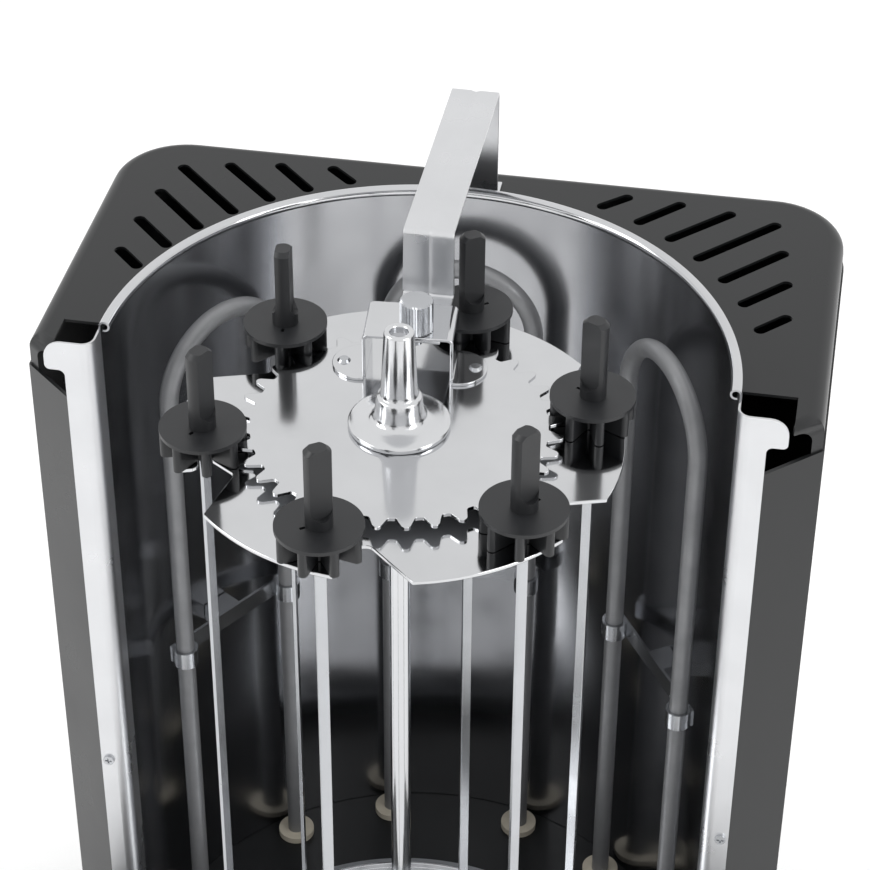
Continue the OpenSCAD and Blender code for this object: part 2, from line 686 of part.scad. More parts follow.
module sun_bracket() {
    top = bracket_top;
    hat = rounded([[-bracket_half, sun_top, 0], [-bracket_half, top, 2.4], [bracket_half, top, 2.4],
        [bracket_half, sun_top, 0], [bracket_half - strap_t, sun_top, 0],
        [bracket_half - strap_t, top - strap_t, 1.2], [strap_t - bracket_half, top - strap_t, 1.2],
        [strap_t - bracket_half, sun_top, 0]]);
    inner = bracket_half - strap_t / 2;
    color(polished) difference() {
        at_axis() rotate([0, 0, bracket_turn]) difference() {
            union() {
                translate([0, bracket_back, 0]) rotate([90, 0, 0])
                    linear_extrude(bracket_back - bracket_front) polygon(hat);
                for (s = [0, 1]) mirror([s, 0, 0]) translate([0, 0, sun_top])
                    linear_extrude(strap_t) intersection() {
                        translate([ear[0], ear[1]]) circle(r = ear[2]);
                        translate([inner, ear[1] - 20]) square(40);
                    }
            }
            for (s = [-1, 1]) translate([s * rivet_x, ear[1], sun_top - 1])
                cylinder(d = rivet_d, h = 4);
        }
        translate([0, screw_y, top - 5]) cylinder(d = thread_d + 2 * run, h = 10);
    }
}

module bracket_rivets() {
    color(steel) at_axis() rotate([0, 0, bracket_turn])
        for (s = [-1, 1]) translate([s * rivet_x, ear[1], 0]) {
            translate([0, 0, sun_z - 0.4]) cylinder(d = rivet_d, h = disc_t + strap_t + 0.4);
            translate([0, 0, sun_top + strap_t]) cylinder(d1 = 5, d2 = 3.4, h = 1);
            translate([0, 0, sun_z - 0.9]) cylinder(d = 4.4, h = 0.9);
        }
}

hub_top = flange_top + handle_h + 2;
bore_r = rod_top_d / 2 + run;

module hub() {
    t = sun_top;
    color(polished) at_axis() rotate_extrude() polygon([[bore_r, sun_z], [spigot_d / 2, sun_z],
        [spigot_d / 2, t], [17.8, t], [18.4, t + 0.6], [18.4, t + 1.8], [17.6, t + 2.5],
        [12.5, t + 3.1], [10.2, t + 3.6], [9.3, t + 4.4], [8.9, t + 6], [8.2, t + 12.6],
        [7.6, t + 13.3], [6.9, t + 13.6], [6.6, t + 16], [5.4, hub_top - 1], [4.6, hub_top],
        [bore_r, hub_top]]);
}

knurls = 30;

module thumb_screw() {
    r = 6.2;
    z0 = bracket_top + gap;
    color(steel) translate([0, screw_y, 0]) {
        translate([0, 0, z0]) linear_extrude(12)
            polygon([for (i = [0 : 2 * knurls - 1])
                polar(i % 2 == 0 ? r : r - 0.45, i * 180 / knurls)]);
        translate([0, 0, z0 + 12 - eps]) cylinder(r1 = r - 0.6, r2 = r - 1.6, h = 0.8);
        translate([0, 0, foot_top - 5]) cylinder(d = thread_d, h = z0 - foot_top + 5 + eps);
    }
}

// ================================ drive ========================================================
motor_ear = 30;                 // half distance between the motor's screws
motor_d = 50;
motor_h = 24;
motor_top = deck_under - 3;
shaft_d = 10;
bracket_sheet = 1.5;

module motor() {
    color(steel) at_axis() difference() {
        union() {
            translate([0, 0, motor_top - motor_h]) cylinder(d = motor_d, h = motor_h - 1.5);
            translate([0, 0, motor_top - 1.5 - eps]) cylinder(d = 30, h = 1.5);
        }
        translate([0, 0, motor_top - 14]) cylinder(d = shaft_d + 2 * run, h = 20);
    }
}

module motor_bracket() {
    color(steel) at_axis() difference() {
        union() {
            translate([0, 0, deck_under - bracket_sheet]) linear_extrude(bracket_sheet)
                polygon(rounded([[-motor_ear - 6, -9, 5], [motor_ear + 6, -9, 5],
                    [motor_ear + 6, 9, 5], [-motor_ear - 6, 9, 5]]));
            translate([0, 0, motor_top]) cylinder(d = 30, h = deck_under - motor_top);
        }
        translate([0, 0, motor_top - 5]) cylinder(d = drive_hole_d, h = 20);
        for (s = [-1, 1]) translate([s * motor_ear, 0, deck_under - 5]) cylinder(d = screw_d + 0.2, h = 10);
    }
}

module motor_screws() {
    color(steel) for (s = [-1, 1]) translate([s * motor_ear, axis_y, deck_under - bracket_sheet])
        mirror([0, 0, 1]) screw(5.6, 1.6, screw_d - 0.1, 3.3);
}

table_z = deck_z + 16;          // underside of the turntable
coupling_d = 16;

module drive_coupling() {
    color(steel) at_axis() difference() {
        union() {
            translate([0, 0, motor_top - 13]) cylinder(d = shaft_d, h = 13 + 6);
            translate([0, 0, motor_top + 2]) cylinder(d = coupling_d, h = table_z - motor_top - 2);
        }
        translate([0, 0, deck_z + 2]) cylinder(d = rod_d + 2 * run, h = 40);
    }
}

module spit_rod() {
    color(polished) at_axis() {
        translate([0, 0, deck_z + 2]) cylinder(d = rod_d, h = carrier_z - deck_z - 2);
        translate([0, 0, carrier_z - eps]) cylinder(d = rod_top_d, h = hub_top - 3 - carrier_z);
    }
}

module turntable() {
    r = turntable_d / 2;
    color(polished) at_axis() difference() {
        union() {
            translate([0, 0, table_z]) cylinder(r = r, h = disc_t);
            translate([0, 0, table_z]) difference() {
                cylinder(r = r, h = 4);
                translate([0, 0, disc_t]) cylinder(r = r - 1.2, h = 5);
            }
            for (i = [0 : 5]) rotate([0, 0, first_skewer + 60 * i]) translate([skewer_c, 0, table_z - 6])
                cylinder(d = 9, h = 6 + eps);
        }
        translate([0, 0, table_z - 1]) cylinder(d = rod_d + 2 * run, h = 10);
        for (i = [0 : 5]) rotate([0, 0, first_skewer + 60 * i]) {
            translate([skewer_c, 0, table_z - 7]) cylinder(d = socket_d, h = 12);
            for (a = [18, 42]) rotate([0, 0, a]) for (x = [34, 52])
                translate([x, 0, table_z - 1]) cylinder(d = 7, h = 5);
        }
    }
}

socket_d = blade_w + 1.2;

// each skewer slips in from the rim through a hooked notch
module carrier() {
    seat = socket_d / 2;
    hook_y = 9;
    color(polished) at_axis() translate([0, 0, carrier_z]) linear_extrude(disc_t) difference() {
        circle(r = carrier_r);
        circle(d = rod_top_d + 2 * run);
        for (i = [0 : 5]) rotate(first_skewer + 60 * i) {
            translate([skewer_c, 0]) circle(r = seat);
            polygon(rounded([[skewer_c - seat, 0, 0], [skewer_c - seat, 5, 1.5],
                [skewer_c - 9.7, 14, 3], [skewer_c + 4.5, 38, 0], [skewer_c + 30, 60, 0],
                [skewer_c + 30, hook_y, 0], [skewer_c + seat, hook_y, 3], [skewer_c + seat, 0, 0]]));
        }
    }
}

module carrier_nut() {
    color(steel) at_axis() translate([0, 0, carrier_z + disc_t]) difference() {
        cylinder(d = 13, h = 2.2, $fn = 6);
        translate([0, 0, -1]) cylinder(d = rod_top_d + 2 * run, h = 5);
    }
}

// ================================ skewers ======================================================
// quarter turns of each handle, as the skewers happen to stand
handle_turn = [-90, 180, 135, 90, 45, 0];
blade_low = table_z - 5.5;
blade_top = flange_top + 12;
fin_w = 3.5;
fin_r = 13.65;                  // centre of the rounded tooth tips
pinion_hub_d = 11;

module at_skewer(i) {
    at_axis() rotate([0, 0, first_skewer + 60 * (i - 1)]) translate([skewer_c, 0, 0]) children();
}

module skewer_blade(i) {
    w = blade_w / 2;
    color(steel) at_skewer(i) rotate([0, 0, handle_turn[i - 1]]) translate([0, blade_t / 2, 0])
        rotate([90, 0, 0]) linear_extrude(blade_t) polygon([[-w, blade_top], [-w, blade_low + 9],
            [-0.4, blade_low], [0.4, blade_low], [w, blade_low + 9], [w, blade_top]]);
}

module skewer_head(i) {
    flat = handle_t / 2;
    scoop_z = flange_top + 8;
    color(black) at_skewer(i) difference() {
        union() {
            translate([0, 0, flange_z]) cylinder(d = flange_d, h = flange_t);
            translate([0, 0, teeth_z]) cylinder(d = pinion_hub_d, h = flange_z - teeth_z + eps);
            for (k = [0 : pinion_teeth - 1]) rotate([0, 0, 180 + k * 360 / pinion_teeth])
                translate([0, 0, teeth_z]) linear_extrude(flange_z - teeth_z + eps) {
                    translate([0, -fin_w / 2]) square([fin_r, fin_w]);
                    translate([fin_r, 0]) circle(d = fin_w);
                }
            intersection() {
                translate([0, 0, flange_top - eps]) cylinder(d = handle_d, h = handle_h + eps);
                translate([0, 0, flange_top + handle_h - 40])
                    cylinder(r1 = handle_d / 2 + 38.4, r2 = handle_d / 2 - 1.6, h = 40);
            }
        }
        rotate([0, 0, handle_turn[i - 1]]) {
            // two flats with scooped lower ends
            for (s = [0, 1]) mirror([0, s, 0]) {
                slab(-10, flat, 10, 20, scoop_z, flange_top + handle_h + 1);
                translate([0, flat, scoop_z]) rotate([-90, 0, 0]) cylinder(d = handle_d - 1.6, h = 20);
            }
            // seat of the blade
            slab(-blade_w / 2 - fit, -blade_t / 2 - fit, blade_w / 2 + fit, blade_t / 2 + fit,
                teeth_z - 1, blade_top + fit);
            slab(handle_d / 2 + 0.2, -0.6, handle_d / 2 + 2.2, 0.6, flange_z - 1, flange_top + 1);
        }
    }
}

// ================================ drip pan, drawer =============================================
pan_r = 94;

module drip_pan() {
    z = deck_z + gap;
    color(steel) at_axis() difference() {
        union() {
            translate([0, drain_y - axis_y, deck_under - 5])
                cylinder(d = drain_d + 1.4, h = z + 5 - deck_under + eps);
            rotate_extrude() polygon([[12.4, z], [pan_r - 4, z], [pan_r - 2, z + 10],
                [pan_r, z + 10.6], [pan_r, z + 11.4], [pan_r - 2.6, z + 11], [pan_r - 4.8, z + 1], [13.4, z + 1],
                [13.4, z + 8], [12.4, z + 8]]);
        }
        translate([0, drain_y - axis_y, deck_under - 6]) cylinder(d = drain_d, h = 20);
    }
}

runner_z = base_floor + plate_t;
tray_wall = 1.2;
tray_w = drawer_w - 8;
tray_z0 = drawer_z0 + 1.5;
front_t = 3;

module drawer_runners() {
    x = tray_w / 2;
    color(steel) for (s = [0, 1]) mirror([s, 0, 0]) {
        slab(x - 4, wall_in + 1, x + gap, drawer_d - base_reach, runner_z, tray_z0);
        slab(x + gap, wall_in + 1, x + gap + 2, drawer_d - base_reach, runner_z, tray_z0 + 10);
    }
    color(steel) slab(-tray_w / 2, drawer_d - base_reach + gap, tray_w / 2,
        drawer_d - base_reach + gap + 2, runner_z, tray_z0 + 10);
}

module drawer_tray() {
    y0 = front_t - base_reach;
    y1 = drawer_d - base_reach;
    color(steel) difference() {
        slab(-tray_w / 2, y0, tray_w / 2, y1, tray_z0 + eps, tray_z0 + drawer_h - 5);
        slab(tray_wall - tray_w / 2, y0 + tray_wall, tray_w / 2 - tray_wall, y1 - tray_wall,
            tray_z0 + tray_wall, tray_z0 + drawer_h);
    }
}

module drawer_front() {
    grip = 5;
    mid = -base_reach;
    color(black) {
        translate([0, mid + front_t, 0]) rotate([90, 0, 0]) linear_extrude(front_t)
            polygon(rounded([[-drawer_w / 2, drawer_z0, 2], [drawer_w / 2, drawer_z0, 2],
                [drawer_w / 2, drawer_z0 + drawer_h, 2], [-drawer_w / 2, drawer_z0 + drawer_h, 2]]));
        translate([-35, 0, 0]) rotate([90, 0, 90]) linear_extrude(70)
            polygon(rounded([[mid + eps, drawer_z0 + 18, 0], [mid - grip, drawer_z0 + 17, 1],
                [mid - grip, drawer_z0 + 11, 1], [mid - grip + 2, drawer_z0 + 11, 1],
                [mid + eps, drawer_z0 + 15, 0]]));
    }
}

// ================================ controls =====================================================
module control_panel() {
    color(dark) difference() {
        translate([0, panel_t - base_reach, 0]) rotate([90, 0, 0]) linear_extrude(panel_t)
            polygon(rounded([[-panel_w / 2, panel_z0, 3], [panel_w / 2, panel_z0, 3],
                [panel_w / 2, panel_z1, 3], [-panel_w / 2, panel_z1, 3]]));
        translate([knob_x, 0, panel_mid]) rotate([90, 0, 0]) cylinder(d = 9, h = 200);
        translate([lens_x, 0, panel_mid]) rotate([90, 0, 0]) cylinder(d = 7, h = 200);
        for (x = rocker_x) slab(x - frame_w / 2 + 1.5, -base_reach - 1, x + frame_w / 2 - 1.5,
            panel_t - base_reach + 1, panel_mid - frame_h / 2 + 1.5, panel_mid + frame_h / 2 - 1.5);
        for (i = [0 : 12]) translate([knob_x, -base_reach, panel_mid]) rotate([0, 150 - i * 25, 0])
            slab(-0.4, -1, 0.4, 0.4, knob_d / 2 + 0.8, knob_d / 2 + (i % 2 == 0 ? 2.4 : 1.6));
    }
}

stem_d = 6;

module timer_body() {
    y = wall_in + gap;
    color("#d9d9d4") difference() {
        slab(knob_x - 19, y, knob_x + 19, y + 34, panel_mid - 15, panel_mid + 15);
        translate([knob_x, y - 1, panel_mid]) rotate([-90, 0, 0]) cylinder(d = stem_d + 2 * run, h = 22);
    }
}

module timer_knob() {
    face = -base_reach - gap;
    color(dark) translate([knob_x, face, panel_mid]) rotate([90, 0, 0]) {
        difference() {
            union() {
                cylinder(d = knob_d, h = 3);
                cylinder(d1 = knob_d - 4, d2 = knob_d - 6, h = knob_out - gap - 0.6);
                translate([0, 0, 2]) linear_extrude(knob_out - gap - 2)
                    polygon(rounded([[-3, 3 - knob_d / 2, 2], [3, 3 - knob_d / 2, 2],
                        [2, knob_d / 2 - 2, 1.2], [-2, knob_d / 2 - 2, 1.2]]));
            }
            for (a = [0 : 20 : 340]) rotate([0, 0, a]) translate([knob_d / 2 - 1.6, 0, 3.2])
                cylinder(d = 2.2, h = 20);
        }
        translate([0, 0, -base_wall - 16]) cylinder(d = stem_d, h = base_wall + 16 + eps);
    }
}

module indicator_lens() {
    color("#c8341f") translate([lens_x, -base_reach, panel_mid]) rotate([90, 0, 0]) {
        translate([0, 0, -4]) cylinder(d = 6.8, h = 4 + eps);
        cylinder(d = 8.6, h = 0.8);
        translate([0, 0, 0.8 - eps]) cylinder(d1 = 8, d2 = 5, h = 1.4);
    }
}

module switch_frames() {
    color(dark) for (x = rocker_x) difference() {
        union() {
            slab(x - frame_w / 2, -base_reach - 1.4, x + frame_w / 2, -base_reach,
                panel_mid - frame_h / 2, panel_mid + frame_h / 2);
            slab(x - frame_w / 2 + 1.6, -base_reach - eps, x + frame_w / 2 - 1.6, 18 - base_reach,
                panel_mid - frame_h / 2 + 1.6, panel_mid + frame_h / 2 - 1.6);
        }
        slab(x - rocker_w / 2 - gap, -base_reach - 5, x + rocker_w / 2 + gap, rocker_r + 2 - base_reach,
            panel_mid - rocker_r - gap, panel_mid + rocker_r + gap);
    }
}

rocker_tilt = 8;
pivot_y = 1.2 - base_reach;

module rocker(i) {
    color("#a8281c") translate([rocker_x[i] - rocker_w / 2, pivot_y, panel_mid]) rotate([rocker_tilt, 0, 0])
        rotate([90, 0, 90]) linear_extrude(rocker_w) difference() {
            circle(r = rocker_r);
            // the face is a shallow V, so that one half stands out at a time
            polygon([[-3.4, 0], [-3.4 - 2 * sin(rocker_tilt) * 4, 10], [-20, 10], [-20, -10],
                [-3.4 - 2 * sin(rocker_tilt) * 4, -10]]);
        }
}

module cable_gland() {
    y = housing_d - pocket_d;
    color(dark) translate([gland_x, y, gland_z]) rotate([-90, 0, 0]) difference() {
        union() {
            cylinder(d = gland_d + 5, h = 2.2);
            translate([0, 0, -base_wall - 3]) cylinder(d = gland_d, h = base_wall + 3 + eps);
            translate([0, 0, -base_wall - gap - 2]) cylinder(d = gland_d + 3, h = 2);
            translate([0, 0, 2.2 - eps]) cylinder(d1 = gland_d + 1, d2 = gland_d - 1.4, h = 4.8);
        }
        translate([0, 0, -20]) cylinder(d = gland_bore, h = 40);
    }
}

base_housing();
bottom_plate();
feet();
bottom_screws();
housing_shell();
rear_panel();
rear_screws();
top_plate();
reflector();
reflector_screws();
heater(0);  // heater_left
heater(1);  // heater_centre
heater(2);  // heater_right
heater_clips();
heater_bushes();
terminal_block();
thermal_cutout();
strap();
strap_screws();
sun_gear();
sun_bracket();
bracket_rivets();
hub();
thumb_screw();
motor();
motor_bracket();
motor_screws();
drip_pan();
control_panel();
timer_body();
timer_knob();
indicator_lens();
switch_frames();
rocker(0);  // rocker_left
rocker(1);  // rocker_right
drawer_runners();
drawer_tray();
drawer_front();
cable_gland();
drive_coupling();
spit_rod();
turntable();
carrier();
carrier_nut();
for (i = [1 : 6]) {
    skewer_blade(i);
    skewer_head(i);
}
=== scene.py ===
# %% [markdown]
# # An electric skewer grill, dressed for its portrait
#
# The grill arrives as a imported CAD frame: every rigid piece is already there, in metres, on the body
# that carries it. Our job in Blender is its looks. We keep each piece whose shape is right and give it
# a finish made of shader nodes, and we rebuild the few pieces whose character lies in soft edges and
# rolled metal. Each cell does one small thing and prints what it did.

# %% Load the frame
import json
import math

import bmesh
import bpy
from mathutils import Matrix, Vector

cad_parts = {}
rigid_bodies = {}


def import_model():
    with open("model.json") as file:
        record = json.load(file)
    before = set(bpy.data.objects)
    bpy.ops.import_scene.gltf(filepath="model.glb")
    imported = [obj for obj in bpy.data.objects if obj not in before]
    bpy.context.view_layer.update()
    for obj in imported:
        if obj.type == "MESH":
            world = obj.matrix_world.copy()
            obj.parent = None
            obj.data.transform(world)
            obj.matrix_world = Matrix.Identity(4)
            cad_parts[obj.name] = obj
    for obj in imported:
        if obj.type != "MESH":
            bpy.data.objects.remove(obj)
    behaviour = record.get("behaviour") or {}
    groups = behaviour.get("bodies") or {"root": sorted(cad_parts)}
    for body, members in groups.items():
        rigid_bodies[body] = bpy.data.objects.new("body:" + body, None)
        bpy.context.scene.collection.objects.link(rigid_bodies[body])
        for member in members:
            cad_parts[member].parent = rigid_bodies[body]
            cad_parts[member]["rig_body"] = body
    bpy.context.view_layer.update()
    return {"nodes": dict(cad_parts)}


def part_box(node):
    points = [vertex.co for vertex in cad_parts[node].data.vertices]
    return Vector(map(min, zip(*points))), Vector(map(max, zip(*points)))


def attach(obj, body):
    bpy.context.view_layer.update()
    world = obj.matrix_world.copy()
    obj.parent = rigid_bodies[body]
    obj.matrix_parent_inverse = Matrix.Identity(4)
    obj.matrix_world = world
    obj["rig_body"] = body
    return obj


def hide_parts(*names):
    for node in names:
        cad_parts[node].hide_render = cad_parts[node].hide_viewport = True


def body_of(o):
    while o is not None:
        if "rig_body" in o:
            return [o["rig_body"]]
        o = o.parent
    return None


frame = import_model()
nodes = frame["nodes"]

# %% [markdown]
# ## Colours and nodes
#
# Colours are easiest to read as the hex values of a colour picker, but a shader works with linear
# light, so one function converts them. A second small function adds any shader node, sets its inputs
# and links what feeds it, which keeps the materials below short enough to read.

# %% Helpers for colours and shader nodes
MM = 0.001


def linear(code):
    """Turns an sRGB hex colour such as "#808080" into linear red, green, blue and alpha."""
    parts = [int(code[i:i + 2], 16) / 255 for i in (1, 3, 5)]
    return tuple(c / 12.92 if c <= 0.04045 else ((c + 0.055) / 1.055) ** 2.4 for c in parts) + (1.0,)


def add(tree, kind, settings=None, **sockets):
    """Adds a node; a value sets a socket, and another node's socket is linked to it."""
    node = tree.nodes.new("ShaderNode" + kind)
    for key, value in (settings or {}).items():
        setattr(node, key, value)
    for key, value in sockets.items():
        socket = node.inputs[int(key[1:])] if key[1:].isdigit() else node.inputs[key.replace("_", " ")]
        if isinstance(value, bpy.types.NodeSocket):
            tree.links.new(value, socket)
        else:
            socket.default_value = value
    return node


print("helpers ready, mid grey is", round(linear("#808080")[0], 3))


# %% [markdown]
# ## One recipe for a real surface
#
# Nothing in a kitchen is perfectly even. Each finish below starts from a Principled shader with the
# typical numbers of its material, and adds three real things: a slight drift of tone, a drift of
# roughness where fingers and cloths have been, and a bump at the size of the surface's own grain. The
# pattern sizes are given in millimetres, because Object coordinates here are metres.

# %% The shared recipe
def finish(name, colour, second, metallic, rough, grain_mm, bump_mm, drift_mm=40.0, spread=0.05,
           stretch=(1, 1, 1), specular=0.5):
    """A Principled material whose tone, roughness and height vary at real sizes."""
    material = bpy.data.materials.new(name)
    material.use_nodes = True
    tree = material.node_tree
    tree.nodes.clear()
    place = add(tree, "TexCoord").outputs["Object"]
    stretched = add(tree, "Mapping", Vector=place, Scale=stretch).outputs[0]
    drift = add(tree, "TexNoise", Vector=place, Scale=1 / (drift_mm * MM), Detail=3.0, Roughness=0.55)
    grain = add(tree, "TexNoise", Vector=stretched, Scale=1 / (grain_mm * MM), Detail=4.0,
                Roughness=0.6)
    tone = add(tree, "Mix", {"data_type": "RGBA"}, _0=drift.outputs["Fac"], _6=linear(colour),
               _7=linear(second))
    roughness = add(tree, "MapRange", Value=drift.outputs["Fac"], From_Min=0.3, From_Max=0.7,
                    To_Min=max(rough - spread, 0.02), To_Max=rough + spread)
    bump = add(tree, "Bump", Height=grain.outputs["Fac"], Distance=bump_mm * MM, Strength=0.6)
    shader = add(tree, "BsdfPrincipled", Base_Color=tone.outputs[2], Metallic=metallic,
                 Roughness=roughness.outputs[0], Normal=bump.outputs[0], Specular_IOR_Level=specular)
    add(tree, "OutputMaterial", Surface=shader.outputs[0])
    return material


print("recipe ready")

# %% [markdown]
# ## The finishes of this grill
#
# The housing is deep-drawn sheet steel in baked satin black enamel. The discs, the strap and the
# reflector are stainless steel, but not all alike: punched discs are polished to a mirror on one side,
# a bent strap keeps the satin of its rolling, and a wall next to heaters dulls. The heaters are tubes
# of a nickel alloy. The skewer heads are moulded in black phenolic. Below, the numbers after the two
# colours are: metallic, roughness, the grain's size and height, the drift's size and its spread.

# %% The painted and polished finishes
# An orange-peel ripple of about 2 mm gives the black enamel's highlights their soft edge.
enamel = finish("baked_satin_black_enamel", "#18191a", "#1f2021", 0.0, 0.30, 2.2, 0.008, 60, 0.05,
                specular=0.35)
# Polished sheet mirrors its neighbours, with only a breath of blur.
mirror = finish("polished_stainless_steel", "#d3d4d6", "#c6c7c9", 1.0, 0.10, 1.2, 0.0015, 30, 0.03)
# The side that wasn't polished spreads the light so far that it looks a plain pale grey.
mill_face = finish("mill_finish_stainless_underside", "#e2e3e5", "#d6d7d9", 1.0, 0.85, 2.0, 0.002,
                   30, 0.04)
# Rolled satin sheet shows bright and dark zones without any outline in them.
strap_steel = finish("satin_rolled_stainless_steel", "#dcdddf", "#d0d1d3", 1.0, 0.30, 1.5, 0.0015,
                     25, 0.04)
# Heat has greyed the reflector, and its long upright rolling marks smear reflections sideways.
wall_mirror = finish("heat_dulled_stainless_mirror", "#b2b3b6", "#9c9da0", 1.0, 0.17, 3.0, 0.004, 45,
                     0.04, stretch=(1, 1, 0.1))
# The tool's fine rings run round the hub and soften what it mirrors.
lathe_steel = finish("lathe_turned_stainless_steel", "#dadbdd", "#cfd0d2", 1.0, 0.20, 0.5, 0.002, 20,
                     0.04, stretch=(0.1, 0.1, 1))
# Drawn wire, flat stock and screws have an even sheen.
bright = finish("drawn_stainless_steel", "#bfc1c4", "#b2b4b7", 1.0, 0.24, 1.6, 0.0015, 20, 0.04)
# The coating of the tray's sheet is greyer and softer than steel itself.
tray_steel = finish("aluminised_sheet_steel", "#b6b8bb", "#a9abae", 1.0, 0.32, 5.0, 0.002, 60, 0.03)
print("eight finishes of metal")

# %% The other finishes
# A skin of oxide makes the tubes half metal, half stone, with a wide pale highlight.
sheath = finish("oxidised_nickel_alloy_tube", "#8f9092", "#7a7b7d", 0.45, 0.42, 0.9, 0.012, 12, 0.08)
# Phenolic is near black and matt, with the fine grain of its wood-flour filler.
phenolic = finish("moulded_black_phenolic", "#1a1b1d", "#232426", 0.0, 0.42, 0.6, 0.010, 8, 0.06,
                  specular=0.45)
# The controls are a softer plastic with a spark-eroded grain that takes off all shine.
moulded = finish("moulded_black_polypropylene", "#202122", "#28292a", 0.0, 0.5, 0.7, 0.010, 15, 0.06)
# Rubber scatters nearly everything that reaches it.
rubber = finish("black_rubber", "#161616", "#1d1d1d", 0.0, 0.8, 0.5, 0.02, 8, 0.05)
# Steatite is cream and chalky where it isn't glazed.
ceramic = finish("unglazed_steatite", "#cfc8b8", "#bdb5a4", 0.0, 0.7, 0.5, 0.02, 6, 0.08)
# The timer's case is an off-white plastic with a low sheen.
white_abs = finish("moulded_white_abs", "#d6d5ce", "#c8c7c0", 0.0, 0.4, 0.8, 0.006, 12, 0.05)
# The lamp and the rockers are glossy red plastic with small sharp highlights.
red_lens = finish("moulded_red_polycarbonate", "#a8281c", "#8d1d14", 0.0, 0.18, 1.5, 0.004, 6, 0.04)
print("seven other finishes")

# %% [markdown]
# ## Who wears what
#
# Every CAD piece gets its finish here, also those that a rounded copy replaces further on: if a copy
# were ever left out, its CAD piece would still look right.

# %% Give the CAD pieces their finishes
wears = {
    enamel: ["base_housing", "housing_shell", "rear_panel", "top_plate", "drawer_front"],
    mirror: ["sun_gear", "sun_bracket", "carrier", "turntable", "spit_rod"],
    strap_steel: ["strap"],
    lathe_steel: ["hub"],
    wall_mirror: ["reflector"],
    tray_steel: ["bottom_plate", "motor_bracket", "drip_pan", "drawer_runners", "drawer_tray"],
    bright: ["bottom_screws", "rear_screws", "reflector_screws", "heater_clips", "strap_screws",
             "bracket_rivets", "thumb_screw", "motor", "motor_screws", "drive_coupling", "carrier_nut"]
            + ["skewer_blade_%d" % n for n in range(1, 7)],
    sheath: ["heater_left", "heater_centre", "heater_right"],
    phenolic: ["skewer_head_%d" % n for n in range(1, 7)],
    moulded: ["control_panel", "timer_knob", "switch_frames", "cable_gland", "thermal_cutout"],
    rubber: ["feet"],
    ceramic: ["heater_bushes", "terminal_block"],
    white_abs: ["timer_body"],
    red_lens: ["indicator_lens", "rocker_left", "rocker_right"],
}
for material, names in wears.items():
    for name in names:
        nodes[name].data.materials.clear()
        nodes[name].data.materials.append(material)
print("finishes on", sum(len(names) for names in wears.values()), "of", len(nodes), "pieces")

# %% [markdown]
# ## Helpers for new pieces
#
# Sheet metal and moulded parts are never razor sharp. Where a CAD piece has the right form but hard
# edges, we copy its mesh, merge the copy's loose triangles into faces and round the edges with a Bevel
# modifier. A piece with curves of its own is built from a bmesh: a short profile, spun or extruded.

# %% Helpers that dress a piece
def dress(name, mesh, body, material, replaced=()):
    """Makes the object of a finished mesh, gives it its finish and lets it ride on a body."""
    mesh.materials.clear()
    mesh.materials.append(material)
    piece = bpy.data.objects.new(name, mesh)
    bpy.context.scene.collection.objects.link(piece)
    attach(piece, body)
    if replaced:
        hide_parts(*replaced)
    return piece


def round_edges(piece, width_mm, segments=2, angle=32.0):
    """Rounds every edge sharper than the angle."""
    bevel = piece.modifiers.new("rounded_edges", "BEVEL")
    bevel.width = width_mm * MM
    bevel.segments = segments
    bevel.limit_method = "ANGLE"
    bevel.angle_limit = math.radians(angle)
    bevel.harden_normals = True
    bevel.miter_outer = "MITER_ARC"
    weighted = piece.modifiers.new("flat_faces_stay_flat", "WEIGHTED_NORMAL")
    weighted.keep_sharp = True


def smooth(mesh, angle=35.0):
    """Smooth shading, with edges sharper than the angle kept sharp."""
    mesh.shade_smooth()
    mesh.set_sharp_from_angle(angle=math.radians(angle))


def softened(node, material, width_mm, segments=2, turn_about=None, turn_deg=0):
    """A copy of a CAD node with merged faces and rounded edges, standing for it.

    turn_about and turn_deg turn the copy about an upright axis through that point.
    """
    mesh = nodes[node].data.copy()
    mesh.name = node + "_soft"
    bm = bmesh.new()
    bm.from_mesh(mesh)
    bmesh.ops.remove_doubles(bm, verts=bm.verts, dist=0.002 * MM)
    bmesh.ops.dissolve_limit(bm, angle_limit=math.radians(1), verts=bm.verts, edges=bm.edges)
    if turn_deg:
        bmesh.ops.rotate(bm, verts=bm.verts, cent=turn_about,
                         matrix=Matrix.Rotation(math.radians(turn_deg), 3, "Z"))
    bm.to_mesh(mesh)
    bm.free()
    smooth(mesh)
    piece = dress(node + "_soft", mesh, body_of(nodes[node])[0], material, [node])
    round_edges(piece, width_mm, segments)


print("dressing helpers ready")

# %% Helpers for outlines and solids
def extruded(bm, outline, move):
    """A flat outline of 3-D points raised along a vector into a closed solid."""
    face = bm.faces.new([bm.verts.new(p) for p in outline])
    grown = bmesh.ops.extrude_face_region(bm, geom=[face])
    verts = [g for g in grown["geom"] if isinstance(g, bmesh.types.BMVert)]
    bmesh.ops.translate(bm, verts=verts, vec=move)


def rounded_outline(corners, count=8):
    """Corners of (x, y, radius) to a list of points with arcs at the rounded ones."""
    out = []
    for k, (x, y, r) in enumerate(corners):
        here = Vector((x, y))
        if r == 0:
            out.append(here)
            continue
        before = (Vector(corners[k - 1][:2]) - here).normalized()
        after = (Vector(corners[(k + 1) % len(corners)][:2]) - here).normalized()
        half = before.angle(after) / 2
        middle = here + (before + after).normalized() * r / math.sin(half)
        start, stop = here + before * r / math.tan(half), here + after * r / math.tan(half)
        a0 = math.atan2(start.y - middle.y, start.x - middle.x)
        turn = math.atan2(stop.y - middle.y, stop.x - middle.x) - a0
        turn = (turn + math.pi) % (2 * math.pi) - math.pi
        out += [middle + Vector((math.cos(a0 + turn * j / count), math.sin(a0 + turn * j / count))) * r
                for j in range(count + 1)]
    return out


